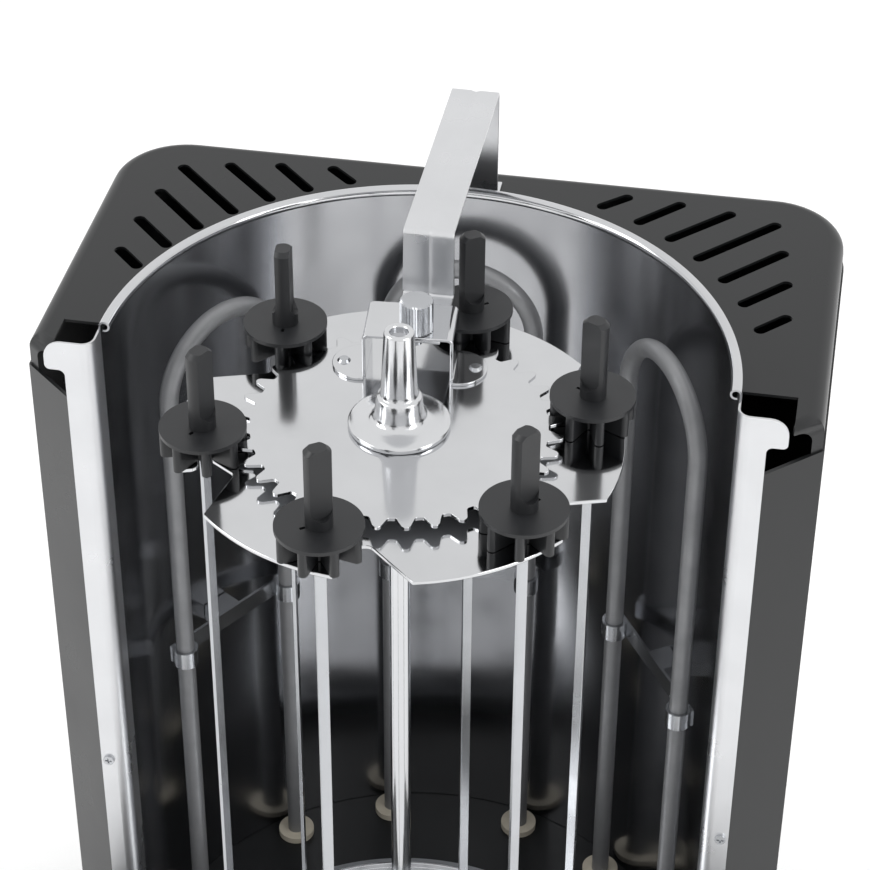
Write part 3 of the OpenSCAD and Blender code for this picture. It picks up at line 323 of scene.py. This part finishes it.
def modelled(mesh, modifiers):
    """Runs modifiers on a mesh and returns the finished mesh; modifiers are (kind, settings)."""
    work = bpy.data.objects.new("work", mesh)
    bpy.context.scene.collection.objects.link(work)
    for kind, settings in modifiers:
        modifier = work.modifiers.new(kind.lower(), kind)
        for key, value in settings.items():
            setattr(modifier, key, value)
    done = bpy.data.meshes.new_from_object(work.evaluated_get(bpy.context.evaluated_depsgraph_get()))
    bpy.data.objects.remove(work)
    return done


print("outline helpers ready")

# %% [markdown]
# ## The carrier, the bracket and the turntable
#
# These are punched from sheet and polished, so their outlines are exact but their rims are slightly
# broken, and that thin rim is what catches a bright line of light. Rounded copies of the CAD pieces
# give exactly that. The carrier's nut is softened with them.

# %% Punched and polished pieces
for node, width in (("carrier", 0.25), ("sun_bracket", 0.25), ("turntable", 0.3), ("carrier_nut", 0.3)):
    softened(node, mirror, width)
print("rounded the punched pieces")

# %% [markdown]
# ## The fixed disc
#
# Its 36 teeth are waves, with round tips and round roots. We list the corners of one tooth, repeat them
# round the axis, give every corner its radius, raise the outline to a sheet and punch three holes. Such
# sheet is polished on one side only, so the underside gets a dull finish of its own: it shows as a soft
# grey in the disc below.

# %% The toothed disc's outline
AXIS = Vector((0.0, -38.0, 0.0)) * MM
TEETH, FIRST_TOOTH, DISC_T = 36, 18, 1.5
PITCH = 360 / TEETH
SUN_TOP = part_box("sun_gear")[1][2] / MM
# one tooth: the radius of a corner, its angle past the tooth's start, and how round it is
one_tooth = [(53.3, -1.5, 1.1), (53.3, 1.5, 1.1), (57.7, 3.48, 1.9), (58.6, 4.37, 1.2), (58.6, 5.63, 1.2),
             (57.7, 6.52, 1.9)]
corners = []
for tooth in range(TEETH):
    for radius, angle, bend in one_tooth:
        a = math.radians(FIRST_TOOTH + PITCH * tooth + angle)
        corners.append((radius * math.cos(a), radius * math.sin(a), bend))
bm = bmesh.new()
extruded(bm, [Vector((p.x, p.y, SUN_TOP - DISC_T)) * MM + AXIS for p in rounded_outline(corners, 4)],
         (0, 0, DISC_T * MM))
bmesh.ops.recalc_face_normals(bm, faces=bm.faces)
blank = bpy.data.meshes.new("toothed_blank")
bm.to_mesh(blank)
bm.free()
print("a blank with", len(blank.vertices), "corners")

# %% Punch the toothed disc and give it its two sides
HUB_HOLE_R, RIVET_HOLE_R, BRACKET_TURN = 6.05, 1.5, 4.6
RIVET_X, RIVET_Y = 24.2, 35.4
bm = bmesh.new()
turn = Matrix.Rotation(math.radians(BRACKET_TURN), 3, "Z")
for x, y, r in ((0, 0, HUB_HOLE_R), (-RIVET_X, RIVET_Y, RIVET_HOLE_R), (RIVET_X, RIVET_Y, RIVET_HOLE_R)):
    pin = bmesh.ops.create_cone(bm, segments=48, radius1=r * MM, radius2=r * MM, depth=10 * MM,
                                cap_ends=True)["verts"]
    spot = AXIS + turn @ Vector((x, y, 0)) * MM + Vector((0, 0, SUN_TOP * MM))
    bmesh.ops.translate(bm, verts=pin, vec=spot)
punch_mesh = bpy.data.meshes.new("disc_punches")
bm.to_mesh(punch_mesh)
bm.free()
punches = bpy.data.objects.new("disc_punches", punch_mesh)
bpy.context.scene.collection.objects.link(punches)
disc = modelled(blank, [("BOOLEAN", {"operation": "DIFFERENCE", "solver": "EXACT", "object": punches})])
bpy.data.objects.remove(punches)
smooth(disc, 40)
waved = dress("sun_gear_waved", disc, "root", mirror, ["sun_gear"])
disc.materials.append(mill_face)
for face in disc.polygons:
    face.material_index = 1 if face.normal.z < -0.9 else 0
round_edges(waved, 0.22, 2, 50)
print("toothed disc with", len(disc.polygons), "faces")

# %% [markdown]
# ## The skewer heads and blades
#
# Each head is moulded in one: eight fins under a flange, and a thin flattened handle that fingers can
# turn. Moulded edges have a radius of about a third of a millimetre. A head with eight fins meshes
# equally well at every 45 degrees, so each skewer is turned by whole steps to stand nearer to how it
# does in the photograph, its blade with it.

# %% Skewer heads and blades
SKEWER_R, FIRST_SKEWER, HEAD_STEP = 69.7, 18, 45
turn_steps = {1: -3, 2: 3, 3: 0, 4: -1, 5: -2, 6: 2}
for number, steps in turn_steps.items():
    around = math.radians(FIRST_SKEWER + 60 * (number - 1))
    stand = AXIS + Vector((math.cos(around), math.sin(around), 0)) * SKEWER_R * MM
    softened("skewer_head_%d" % number, phenolic, 0.3, 2, stand, HEAD_STEP * steps)
    softened("skewer_blade_%d" % number, bright, 0.15, 2, stand, HEAD_STEP * steps)
print("rounded six heads and six blades")

# %% [markdown]
# ## The hub
#
# A turned piece is a profile spun round its axis, so we draw half of its section, from the bore
# outwards, and let the spin operator do what the lathe did.

# %% A lathe
def turned(name, profile_mm, centre, steps=96):
    """Spins a closed profile of (radius, height) points through a full turn."""
    bm = bmesh.new()
    ring = [bm.verts.new(Vector((r * MM, 0, z * MM)) + centre) for r, z in profile_mm]
    edges = [bm.edges.new((ring[k], ring[(k + 1) % len(ring)])) for k in range(len(ring))]
    bmesh.ops.spin(bm, geom=ring + edges, cent=centre, axis=(0, 0, 1), angle=2 * math.pi, steps=steps,
                   use_merge=True)
    bmesh.ops.remove_doubles(bm, verts=bm.verts, dist=0.0005 * MM)
    bmesh.ops.recalc_face_normals(bm, faces=bm.faces)
    mesh = bpy.data.meshes.new(name)
    bm.to_mesh(mesh)
    bm.free()
    smooth(mesh, 40)
    return mesh


print("lathe ready")

# %% The turned hub
HUB_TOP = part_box("hub")[1][2] / MM
# (radius, height) from the bore outwards: the foot above the disc's top, the tip below the hub's top
hub_foot = [(3.2, -1.5), (6.0, -1.5), (6.0, 0), (17.6, 0), (18.2, 0.25), (18.4, 0.7), (18.4, 1.7),
            (18.2, 2.1), (17.6, 2.45), (15.0, 2.75), (12.5, 3.05), (11.0, 3.35), (10.1, 3.75),
            (9.5, 4.4), (9.15, 5.1), (8.9, 6.0), (8.55, 9.3), (8.2, 12.5), (8.0, 13.0), (7.6, 13.3),
            (7.0, 13.55), (6.75, 13.9), (6.6, 16.0)]
hub_tip = [(5.4, -1.2), (5.25, -0.6), (4.95, -0.2), (4.5, -0.05), (3.7, -0.15), (3.35, -0.5),
           (3.2, -1.1)]
hub_profile = [(r, SUN_TOP + z) for r, z in hub_foot] + [(r, HUB_TOP + z) for r, z in hub_tip]
hub = dress("hub_turned", turned("hub_turned", hub_profile, AXIS), "root", lathe_steel,
            ["hub"])
print("hub with", len(hub.data.polygons), "faces")

# %% [markdown]
# ## The knurled thumb screw
#
# A knurl is a ring of small ridges. We start from a circle of sixty points, pull every second one in,
# raise it to a prism and break the rim of its top in two small steps.

# %% The thumb screw
KNURLS, HEAD_R, VALLEY_R, HEAD_H, KNURL_H = 30, 6.2, 5.75, 12.8, 11.9
SHANK_R, SHANK_H, SHANK_MID = 2.0, 6.6, 3.2
screw_low, screw_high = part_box("thumb_screw")
screw_at = Vector((0.0, (screw_low[1] + screw_high[1]) / 2, 0.0))
HEAD_Z = screw_high[2] / MM - HEAD_H
bm = bmesh.new()
bmesh.ops.create_circle(bm, segments=2 * KNURLS, radius=HEAD_R * MM, cap_ends=True)
for k, v in enumerate(bm.verts):
    if k % 2:
        v.co *= VALLEY_R / HEAD_R
bmesh.ops.translate(bm, verts=bm.verts, vec=screw_at + Vector((0, 0, HEAD_Z * MM)))
lift = bmesh.ops.extrude_face_region(bm, geom=bm.faces[:])
top = [v for v in lift["geom"] if isinstance(v, bmesh.types.BMVert)]
bmesh.ops.translate(bm, verts=top, vec=(0, 0, KNURL_H * MM))
cap = [f for f in lift["geom"] if isinstance(f, bmesh.types.BMFace)]
bmesh.ops.inset_region(bm, faces=cap, thickness=0.6 * MM, depth=0.5 * MM)
bmesh.ops.inset_region(bm, faces=cap, thickness=1.5 * MM, depth=-0.05 * MM)
bmesh.ops.recalc_face_normals(bm, faces=bm.faces)
shank = bmesh.ops.create_cone(bm, segments=32, radius1=SHANK_R * MM, radius2=SHANK_R * MM,
                              depth=SHANK_H * MM, cap_ends=True)
bmesh.ops.translate(bm, verts=shank["verts"], vec=screw_at + Vector((0, 0, (HEAD_Z - SHANK_MID) * MM)))
mesh = bpy.data.meshes.new("thumb_screw_knurled")
bm.to_mesh(mesh)
bm.free()
smooth(mesh, 25)
dress("thumb_screw_knurled", mesh, "thumb_screw", bright, ["thumb_screw"])
print("thumb screw of", KNURLS, "ridges")

# %% [markdown]
# ## The steel strap
#
# The strap is one strip, bent four times and pressed with a lengthwise crease that stiffens it. We lay
# down its cross-section once and walk it along the bends: a straight run is an extrusion that is moved,
# and a bend is an extrusion that is turned.

# %% Helpers that bend a strip
STRAP_W, STRAP_T, BEND_R = 18.8, 1.2, 1.8
CREASE_OUT, CREASE_IN, CREASE_D = 1.9, 0.4, 0.45


def strip_section(bm, width, thick, crease):
    """The strip's cross-section as one face in the XZ plane, with a pressed V in the middle."""
    half = width / 2
    upper = [(-half, thick / 2), (-CREASE_OUT, thick / 2), (-CREASE_IN, thick / 2 - crease),
             (CREASE_IN, thick / 2 - crease), (CREASE_OUT, thick / 2), (half, thick / 2)]
    lower = [(half, -thick / 2), (CREASE_OUT, -thick / 2), (CREASE_IN, -thick / 2),
             (-CREASE_IN, -thick / 2), (-CREASE_OUT, -thick / 2), (-half, -thick / 2)]
    return bm.faces.new([bm.verts.new((x * MM, 0, z * MM)) for x, z in upper + lower])


def walk_strip(steps, start, crease):
    """steps are ("go", mm) or ("turn", degrees); the strip starts at (y, z) heading to -Y."""
    bm = bmesh.new()
    face = strip_section(bm, STRAP_W, STRAP_T, crease)
    heading = 180.0
    bmesh.ops.translate(bm, verts=face.verts, vec=(0, start[0] * MM, start[1] * MM))
    y, z = start
    for kind, amount in steps:
        pieces = 1 if kind == "go" else 6
        for _ in range(pieces):
            grown = bmesh.ops.extrude_face_region(bm, geom=[face])
            face = [g for g in grown["geom"] if isinstance(g, bmesh.types.BMFace)][0]
            if kind == "go":
                rad = math.radians(heading)
                y, z = y + amount * math.cos(rad), z + amount * math.sin(rad)
                bmesh.ops.translate(bm, verts=face.verts, vec=(0, amount * math.cos(rad) * MM,
                                                               amount * math.sin(rad) * MM))
            else:
                turn = amount / pieces
                sign = 1 if amount > 0 else -1
                rad = math.radians(heading + 90 * sign)
                pivot = Vector((0, (y + BEND_R * math.cos(rad)) * MM, (z + BEND_R * math.sin(rad)) * MM))
                bmesh.ops.rotate(bm, verts=face.verts, cent=pivot,
                                 matrix=Matrix.Rotation(math.radians(turn), 3, "X"))
                back = math.radians(heading + turn + 90 * sign)
                y, z = pivot.y / MM - BEND_R * math.cos(back), pivot.z / MM - BEND_R * math.sin(back)
                heading += turn
    bmesh.ops.recalc_face_normals(bm, faces=bm.faces)
    print("strap ends at", round(y, 2), round(z, 2))
    return bm


print("strip helpers ready")

# %% The strap
strap_low, strap_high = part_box("strap")
FRONT_END, REAR_END = strap_low[1] / MM, strap_high[1] / MM
REAR_FOOT, FRONT_LEG, FOOT_DROP = 12.6, 20.2, 1.8
REAR_LEG = REAR_END - REAR_FOOT
PLATE_MID, TOP_MID = strap_low[2] / MM + STRAP_T / 2, strap_high[2] / MM - STRAP_T / 2
FOOT_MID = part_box("sun_bracket")[1][2] / MM - FOOT_DROP
bm = walk_strip([("go", REAR_END - REAR_LEG - BEND_R), ("turn", -90),
                 ("go", TOP_MID - PLATE_MID - 2 * BEND_R), ("turn", 90),
                 ("go", REAR_LEG - FRONT_LEG - 2 * BEND_R), ("turn", 90),
                 ("go", TOP_MID - FOOT_MID - 2 * BEND_R), ("turn", -90),
                 ("go", FRONT_LEG - BEND_R - FRONT_END)], (REAR_END, PLATE_MID), CREASE_D)
mesh = bpy.data.meshes.new("strap_bent")
bm.to_mesh(mesh)
bm.free()
smooth(mesh, 35)
bent = dress("strap_bent", mesh, "root", strap_steel, ["strap"])
round_edges(bent, 0.25)
print("strap with", len(mesh.polygons), "faces")

# %% [markdown]
# ## The reflector
#
# The reflector is a sheet rolled to a half circle whose upper edge is curled inwards into a bead. Its
# section, with the curl, is spun through half a turn.

# %% The rolled reflector
REFL_Y = -8.0
REFL = Vector((0.0, REFL_Y, 0.0)) * MM
REFL_R, REFL_T, RIM_Z, BEAD_R, LOW_Z = 118.0, 0.8, 422.5, 2.2, 88.3
bead_c = REFL_R + REFL_T - BEAD_R


def arc(cx, cz, r, a0, a1, count):
    """Points on an arc, angles in degrees."""
    return [(cx + r * math.cos(math.radians(a0 + (a1 - a0) * k / count)),
             cz + r * math.sin(math.radians(a0 + (a1 - a0) * k / count))) for k in range(count + 1)]


section = [(REFL_R + REFL_T, LOW_Z)] + arc(bead_c, RIM_Z, BEAD_R, 0, 288, 24)
section += arc(bead_c, RIM_Z, BEAD_R - REFL_T, 288, 0, 20) + [(REFL_R, LOW_Z)]
bm = bmesh.new()
ring = [bm.verts.new(Vector((r * MM, 0, z * MM)) + REFL) for r, z in section]
end_cap = bm.faces.new(ring)
bmesh.ops.spin(bm, geom=ring + list(end_cap.edges) + [end_cap], cent=REFL, axis=(0, 0, 1),
               angle=math.pi, steps=128, use_merge=False)
bmesh.ops.recalc_face_normals(bm, faces=bm.faces)
print("reflector wall", len(bm.faces), "faces, open edges", sum(e.is_boundary for e in bm.edges))

# %% [markdown]
# ## The reflector's flanges
#
# The same sheet bends outwards at both ends and lies on the front posts as a bright band, with a tab
# that reaches further out at the top. This is flat work, so its outlines are drawn and extruded.
#
# Faces remember which of a piece's finishes they wear by a number: 0 for the dulled wall, 1 for the
# bead, which stays polished, and 2 for the flanges, which keep the satin of the sheet. Clearing a mesh's
# finishes sets all numbers to 0, so they are set last.

# %% Flanges and tabs of the reflector
POST_FWD, POST_TIP, FLANGE_R, TAB_TOP, TAB_LOW, TAB_OUT = 18.5, 129.5, 5.0, 421.5, 409, 7.5
FLANGE_FROM = -9
bend_y = FLANGE_R - REFL_T - POST_FWD
for sign in (-1, 1):
    bend = arc(REFL_R + FLANGE_R, bend_y, FLANGE_R, 180, 270, 12)
    bend += arc(REFL_R + FLANGE_R, bend_y, FLANGE_R - REFL_T, 270, 180, 12)
    plan = [(REFL_R, REFL_Y)] + bend + [(REFL_R + REFL_T, REFL_Y)]
    extruded(bm, [Vector((sign * x, y, LOW_Z)) * MM for x, y in plan], (0, 0, (TAB_TOP - LOW_Z) * MM))
    tab = rounded_outline([(REFL_R + FLANGE_R, LOW_Z, 0), (POST_TIP - 0.05, LOW_Z, 0),
                           (POST_TIP - 0.05, TAB_LOW, 2.5), (POST_TIP + TAB_OUT, TAB_LOW, 2),
                           (POST_TIP + TAB_OUT, TAB_TOP, 6.9), (REFL_R + FLANGE_R, TAB_TOP, 0)])
    extruded(bm, [Vector((sign * p.x, -POST_FWD, p.y)) * MM for p in tab], (0, -REFL_T * MM, 0))
bmesh.ops.recalc_face_normals(bm, faces=bm.faces)
mesh = bpy.data.meshes.new("reflector_rolled")
bm.to_mesh(mesh)
bm.free()
smooth(mesh, 40)
dress("reflector_rolled", mesh, "root", wall_mirror, ["reflector"])
for extra in (mirror, strap_steel):
    mesh.materials.append(extra)
for face in mesh.polygons:
    middle = face.center / MM
    face.material_index = 1 if middle.z > RIM_Z - BEAD_R else 2 if middle.y < FLANGE_FROM else 0
print("reflector", len(mesh.polygons), "faces, bright ones",
      sum(p.material_index > 0 for p in mesh.polygons))

# %% [markdown]
# ## The slotted cap
#
# The cap is a pressing: a flat top, a rolled edge of 6 mm radius and a short skirt. We draw its top as
# one face, drop the skirt from the outer edges and bevel the edge between them.

# %% The cap's outline
CAP_X, CAP_Y, CAP_R, CAP_IN, CAP_FRONT, PLATE_Z, SKIRT = 149.2, 149.2, 29.2, 138.5, 11.7, 410.0, 14.0
POST_IN, POST_CORNER, HOLE_R, CAP_T, EDGE_R = 20.5, 0.356, 119.1, 1.2, 6
post_front = POST_CORNER - (CAP_X - CAP_IN) * POST_FWD / POST_IN
chain = [(CAP_IN, post_front), (CAP_X, POST_CORNER)] + arc(CAP_X - CAP_R, CAP_Y - CAP_R, CAP_R, 0, 90, 14)
chain += [(-x, y) for x, y in reversed(chain)]
hole_from = math.degrees(math.asin((CAP_FRONT - REFL_Y) / HOLE_R))
cut = arc(0, REFL_Y, HOLE_R, 180 - hole_from, hole_from, 96)
outline = chain + [(-CAP_IN, CAP_FRONT)] + cut + [(CAP_IN, CAP_FRONT)]

bm = bmesh.new()
top_verts = [bm.verts.new(Vector((x, y, PLATE_Z)) * MM) for x, y in outline]
bm.faces.new(top_verts)
outer = [bm.edges.get((top_verts[k], top_verts[k + 1])) for k in range(len(chain) - 1)]
dropped = bmesh.ops.extrude_edge_only(bm, edges=outer)
low = [g for g in dropped["geom"] if isinstance(g, bmesh.types.BMVert)]
bmesh.ops.translate(bm, verts=low, vec=(0, 0, -SKIRT * MM))
bmesh.ops.bevel(bm, geom=outer, offset=EDGE_R * MM, offset_type="OFFSET", segments=8, profile=0.5,
                affect="EDGES", material=-1, clamp_overlap=True)
bmesh.ops.remove_doubles(bm, verts=bm.verts, dist=0.001 * MM)
bmesh.ops.recalc_face_normals(bm, faces=bm.faces)
if sum(f.normal.z * f.calc_area() for f in bm.faces) < 0:
    bmesh.ops.reverse_faces(bm, faces=bm.faces)
cap_mesh = bpy.data.meshes.new("cap_surface")
bm.to_mesh(cap_mesh)
bm.free()
print("cap surface", len(cap_mesh.polygons), "faces")

# %% [markdown]
# ## The cap's slots
#
# Seven slots slant across each rear corner and let the heat out. Each is listed by its two ends. A punch
# is an outline that is raised right through the sheet. Solidify gives the sheet its thickness, one
# Boolean takes all slots away at once, with a notch at each front corner, and a last fine bevel leaves
# the bright lines that enamel shows round every punched hole.

# %% Punches of the cap
SLOT_W, PUNCH_LOW, PUNCH_H = 5.0, 400, 20
NOTCH = [(130, 390, 0), (145.2, 390, 0), (145.2, 406.5, 5), (130, 407.8, 0)]
NOTCH_REAR, NOTCH_L = 5, 30
SLOTS = [(132, 63.5, 119.5, 50.5), (130.5, 86.5, 112, 67), (127.5, 108, 103, 82), (123, 128, 92, 95.5),
         (104.5, 133, 79.5, 107.5), (84, 136.5, 66, 117.5), (62.5, 138, 50, 126.5)]


def slot_outline(x0, y0, x1, y1, width):
    """A round-ended slot as a list of points."""
    along = math.degrees(math.atan2(y1 - y0, x1 - x0))
    length = math.hypot(x1 - x0, y1 - y0)
    r = width / 2
    ux, uy = (x1 - x0) / length, (y1 - y0) / length
    a, b = (x0 + ux * r, y0 + uy * r), (x1 - ux * r, y1 - uy * r)
    return arc(b[0], b[1], r, along - 90, along + 90, 12) + arc(a[0], a[1], r, along + 90, along + 270, 12)


bm = bmesh.new()
for sign in (-1, 1):
    for slot in SLOTS:
        pts = slot_outline(*slot, SLOT_W)
        extruded(bm, [Vector((sign * x, y, PUNCH_LOW)) * MM for x, y in pts], (0, 0, PUNCH_H * MM))
    extruded(bm, [Vector((sign * p.x, NOTCH_REAR, p.y)) * MM for p in rounded_outline(NOTCH)],
             (0, -NOTCH_L * MM, 0))
bmesh.ops.recalc_face_normals(bm, faces=bm.faces)
punch_mesh = bpy.data.meshes.new("punches")
bm.to_mesh(punch_mesh)
bm.free()
print("punches with", len(punch_mesh.polygons), "faces")

# %% Thicken and punch the cap
punches = bpy.data.objects.new("punches", punch_mesh)
bpy.context.scene.collection.objects.link(punches)
cap = modelled(cap_mesh, [("SOLIDIFY", {"thickness": CAP_T * MM, "offset": -1.0, "use_even_offset": True}),
                          ("BOOLEAN", {"operation": "DIFFERENCE", "solver": "EXACT",
                                       "object": punches})])
bpy.data.objects.remove(punches)
smooth(cap, 30)
cap_piece = dress("cap_pressed", cap, "root", enamel, ["top_plate"])
round_edges(cap_piece, 0.35, angle=40)
print("cap with slots", len(cap.polygons), "faces")

# %% [markdown]
# ## The folded housing
#
# Folded sheet has a small radius at each bend, and the base is a moulding whose edges are rounded by
# about a millimetre. Both CAD pieces have the right form, so they are softened copies too, and so are
# the drawer's front, the knob and the switches.

# %% Housing, base and small parts
softened("housing_shell", enamel, 0.7, 3)
softened("base_housing", enamel, 1.2, 3)
softened("drawer_front", enamel, 0.5)
softened("timer_knob", moulded, 0.3)
softened("switch_frames", moulded, 0.3)
softened("rocker_left", red_lens, 0.4)
softened("rocker_right", red_lens, 0.4)
print("softened the housing and the controls")

# %% [markdown]
# ## The heaters
#
# Each heater is one tube bent like a hairpin. A circle is drawn straight up for one leg, spun through
# half a turn for the arch and drawn straight down for the other leg. A thin terminal pin follows at the
# foot of each leg. The hairpin is made at the back and then turned about the reflector's axis.

# %% Hairpin tubes
TUBE_R, ARCH_R, CHORD_R, ARCH_Z, LEG_LOW = 3.75, 29.77, 103.82, 364.48, 73.0
PIN_R, PIN_H, PIN_MID = 1.5, 12.0, 5.9
for name, angle in (("heater_left", 57), ("heater_centre", 0), ("heater_right", -57)):
    bm = bmesh.new()
    ring = bmesh.ops.create_circle(bm, segments=32, radius=TUBE_R * MM)["verts"]
    bmesh.ops.translate(bm, verts=ring, vec=(ARCH_R * MM, 0, LEG_LOW * MM))
    grown = bmesh.ops.extrude_edge_only(bm, edges=bm.edges[:])
    verts = [g for g in grown["geom"] if isinstance(g, bmesh.types.BMVert)]
    edges = [g for g in grown["geom"] if isinstance(g, bmesh.types.BMEdge)
             and all(v in verts for v in g.verts)]
    bmesh.ops.translate(bm, verts=verts, vec=(0, 0, (ARCH_Z - LEG_LOW) * MM))
    turned_arch = bmesh.ops.spin(bm, geom=edges + verts, cent=(0, 0, ARCH_Z * MM), axis=(0, -1, 0),
                                 angle=math.pi, steps=40, use_merge=False)
    last = [g for g in turned_arch["geom_last"] if isinstance(g, bmesh.types.BMEdge)]
    grown = bmesh.ops.extrude_edge_only(bm, edges=last)
    verts = [g for g in grown["geom"] if isinstance(g, bmesh.types.BMVert)]
    bmesh.ops.translate(bm, verts=verts, vec=(0, 0, (LEG_LOW - ARCH_Z) * MM))
    bmesh.ops.holes_fill(bm, edges=bm.edges, sides=64)
    bmesh.ops.recalc_face_normals(bm, faces=bm.faces)
    bmesh.ops.translate(bm, verts=bm.verts, vec=(0, CHORD_R * MM, 0))
    for s in (-1, 1):
        pin = bmesh.ops.create_cone(bm, segments=20, radius1=PIN_R * MM, radius2=PIN_R * MM,
                                    depth=PIN_H * MM, cap_ends=True)["verts"]
        bmesh.ops.translate(bm, verts=pin,
                            vec=(s * ARCH_R * MM, CHORD_R * MM, (LEG_LOW - PIN_MID) * MM))
    bmesh.ops.rotate(bm, verts=bm.verts, cent=(0, 0, 0),
                     matrix=Matrix.Rotation(math.radians(angle), 3, "Z"))
    bmesh.ops.translate(bm, verts=bm.verts, vec=REFL)
    mesh = bpy.data.meshes.new(name + "_tube")
    bm.to_mesh(mesh)
    bm.free()
    smooth(mesh, 40)
    dress(name + "_tube", mesh, "root", sheath, [name])

# %% [markdown]
# ## World and floor
#
# A plain pale room: the world and the floor show white to the camera and to anything shiny, while the
# light that falls on the grill stays at a plain level. The Light Path node tells the two apart. Far out
# the floor glows faintly, so that it runs into the white world without an edge.

# %% The world
def seen_rays(tree):
    """1 for the rays that show a surface: straight from the camera, off metal, or through glass."""
    path = add(tree, "LightPath")
    seen = add(tree, "Math", {"operation": "MAXIMUM"}, _0=path.outputs["Is Camera Ray"],
               _1=path.outputs["Is Glossy Ray"])
    seen = add(tree, "Math", {"operation": "MAXIMUM"}, _0=seen.outputs[0],
               _1=path.outputs["Is Transmission Ray"])
    return seen.outputs[0]


world = bpy.data.worlds.new("pale_room")
bpy.context.scene.world = world
world.use_nodes = True
tree = world.node_tree
tree.nodes.clear()
seen = seen_rays(tree)
lit = add(tree, "Background", Color=linear("#ffffff"), Strength=0.6)
shown = add(tree, "Background", Color=linear("#ffffff"), Strength=1.0)
both = add(tree, "MixShader", _0=seen, _1=lit.outputs[0], _2=shown.outputs[0])
add(tree, "OutputWorld", Surface=both.outputs[0])
print("world ready")

# %% The floor
floor_mesh = bpy.data.meshes.new("floor")
bm = bmesh.new()
bmesh.ops.create_grid(bm, x_segments=1, y_segments=1, size=6.0)
bm.to_mesh(floor_mesh)
bm.free()
floor = bpy.data.objects.new("floor", floor_mesh)
bpy.context.scene.collection.objects.link(floor)
paper = bpy.data.materials.new("white_paper_floor")
paper.use_nodes = True
tree = paper.node_tree
tree.nodes.clear()
place = add(tree, "TexCoord").outputs["Object"]
paper_grain = add(tree, "TexNoise", Vector=place, Scale=40.0, Detail=2.0)
paper_bump = add(tree, "Bump", Height=paper_grain.outputs["Fac"], Distance=0.0002)
matt = add(tree, "BsdfDiffuse", Color=linear("#fefefe"), Normal=paper_bump.outputs[0])
from_middle = add(tree, "VectorMath", {"operation": "LENGTH"}, _0=place)
glow = add(tree, "MapRange", Value=from_middle.outputs["Value"], From_Min=0.6, From_Max=2.4,
           To_Min=0.0, To_Max=0.4)
far_light = add(tree, "Emission", Color=linear("#ffffff"), Strength=glow.outputs[0])
paper_mix = add(tree, "AddShader", _0=matt.outputs[0], _1=far_light.outputs[0])
add(tree, "OutputMaterial", Surface=paper_mix.outputs[0])
floor_mesh.materials.append(paper)
print("floor ready")

# %% [markdown]
# ## Soft boxes
#
# Three large lamps: one above and a little behind, for an even light on all that faces up, and one on
# each side, which show as soft pale streaks in shiny pieces. The one above is kept out of reflections,
# because it would cut a hard white patch into the polished disc.

# %% Soft boxes
def soft_box(name, place, target, size, watts, seen_in_metal=True):
    """A large area lamp that points at a spot on the grill."""
    lamp = bpy.data.lights.new(name, "AREA")
    lamp.shape = "RECTANGLE"
    lamp.size, lamp.size_y = size
    lamp.energy = watts
    box = bpy.data.objects.new(name, lamp)
    box.visible_glossy = seen_in_metal
    box.location = place
    box.rotation_mode = "QUATERNION"
    box.rotation_quaternion = (Vector(target) - Vector(place)).to_track_quat("-Z", "Y")
    bpy.context.scene.collection.objects.link(box)


soft_box("top_box", (0.0, 0.35, 1.7), (0, 0, 0.4), (1.2, 1.0), 14, seen_in_metal=False)
soft_box("left_box", (-1.3, -0.5, 1.0), (0, 0, 0.35), (0.8, 1.0), 9)
soft_box("right_box", (1.3, -0.7, 0.8), (0, 0, 0.35), (0.8, 1.0), 10)
print("three soft boxes")

# %% [markdown]
# ## Camera
#
# The camera looks down at the grill's head from the front, a little to the right of its middle line,
# through a long lens that keeps the posts nearly parallel. Its place and its three angles were fitted to
# points of the photograph. A camera looks along its own -Z, so its matrix is built from three
# directions: right, up and back.

# %% Camera
FRAME_PX = 870
camera_spot = Vector((145.7, -796.0, 992.9)) * MM
pitch, yaw, roll, focal_px = math.radians(37.02), math.radians(9.94), math.radians(0.31), 2709.9
ahead = Vector((-math.sin(yaw) * math.cos(pitch), math.cos(yaw) * math.cos(pitch), -math.sin(pitch)))
side = Vector((math.cos(yaw), math.sin(yaw), 0.0))
rise = side.cross(ahead)
right = math.cos(roll) * side + math.sin(roll) * rise
up = -math.sin(roll) * side + math.cos(roll) * rise
lens = bpy.data.cameras.new("camera")
lens.sensor_width = 36.0
lens.lens = focal_px / FRAME_PX * lens.sensor_width
camera = bpy.data.objects.new("camera", lens)
camera.matrix_world = Matrix((right, up, -ahead)).transposed().to_4x4()
camera.location = camera_spot
bpy.context.scene.collection.objects.link(camera)
bpy.context.scene.camera = camera
bpy.context.scene.view_settings.view_transform = "Standard"
print("lens", round(lens.lens, 1), "mm")
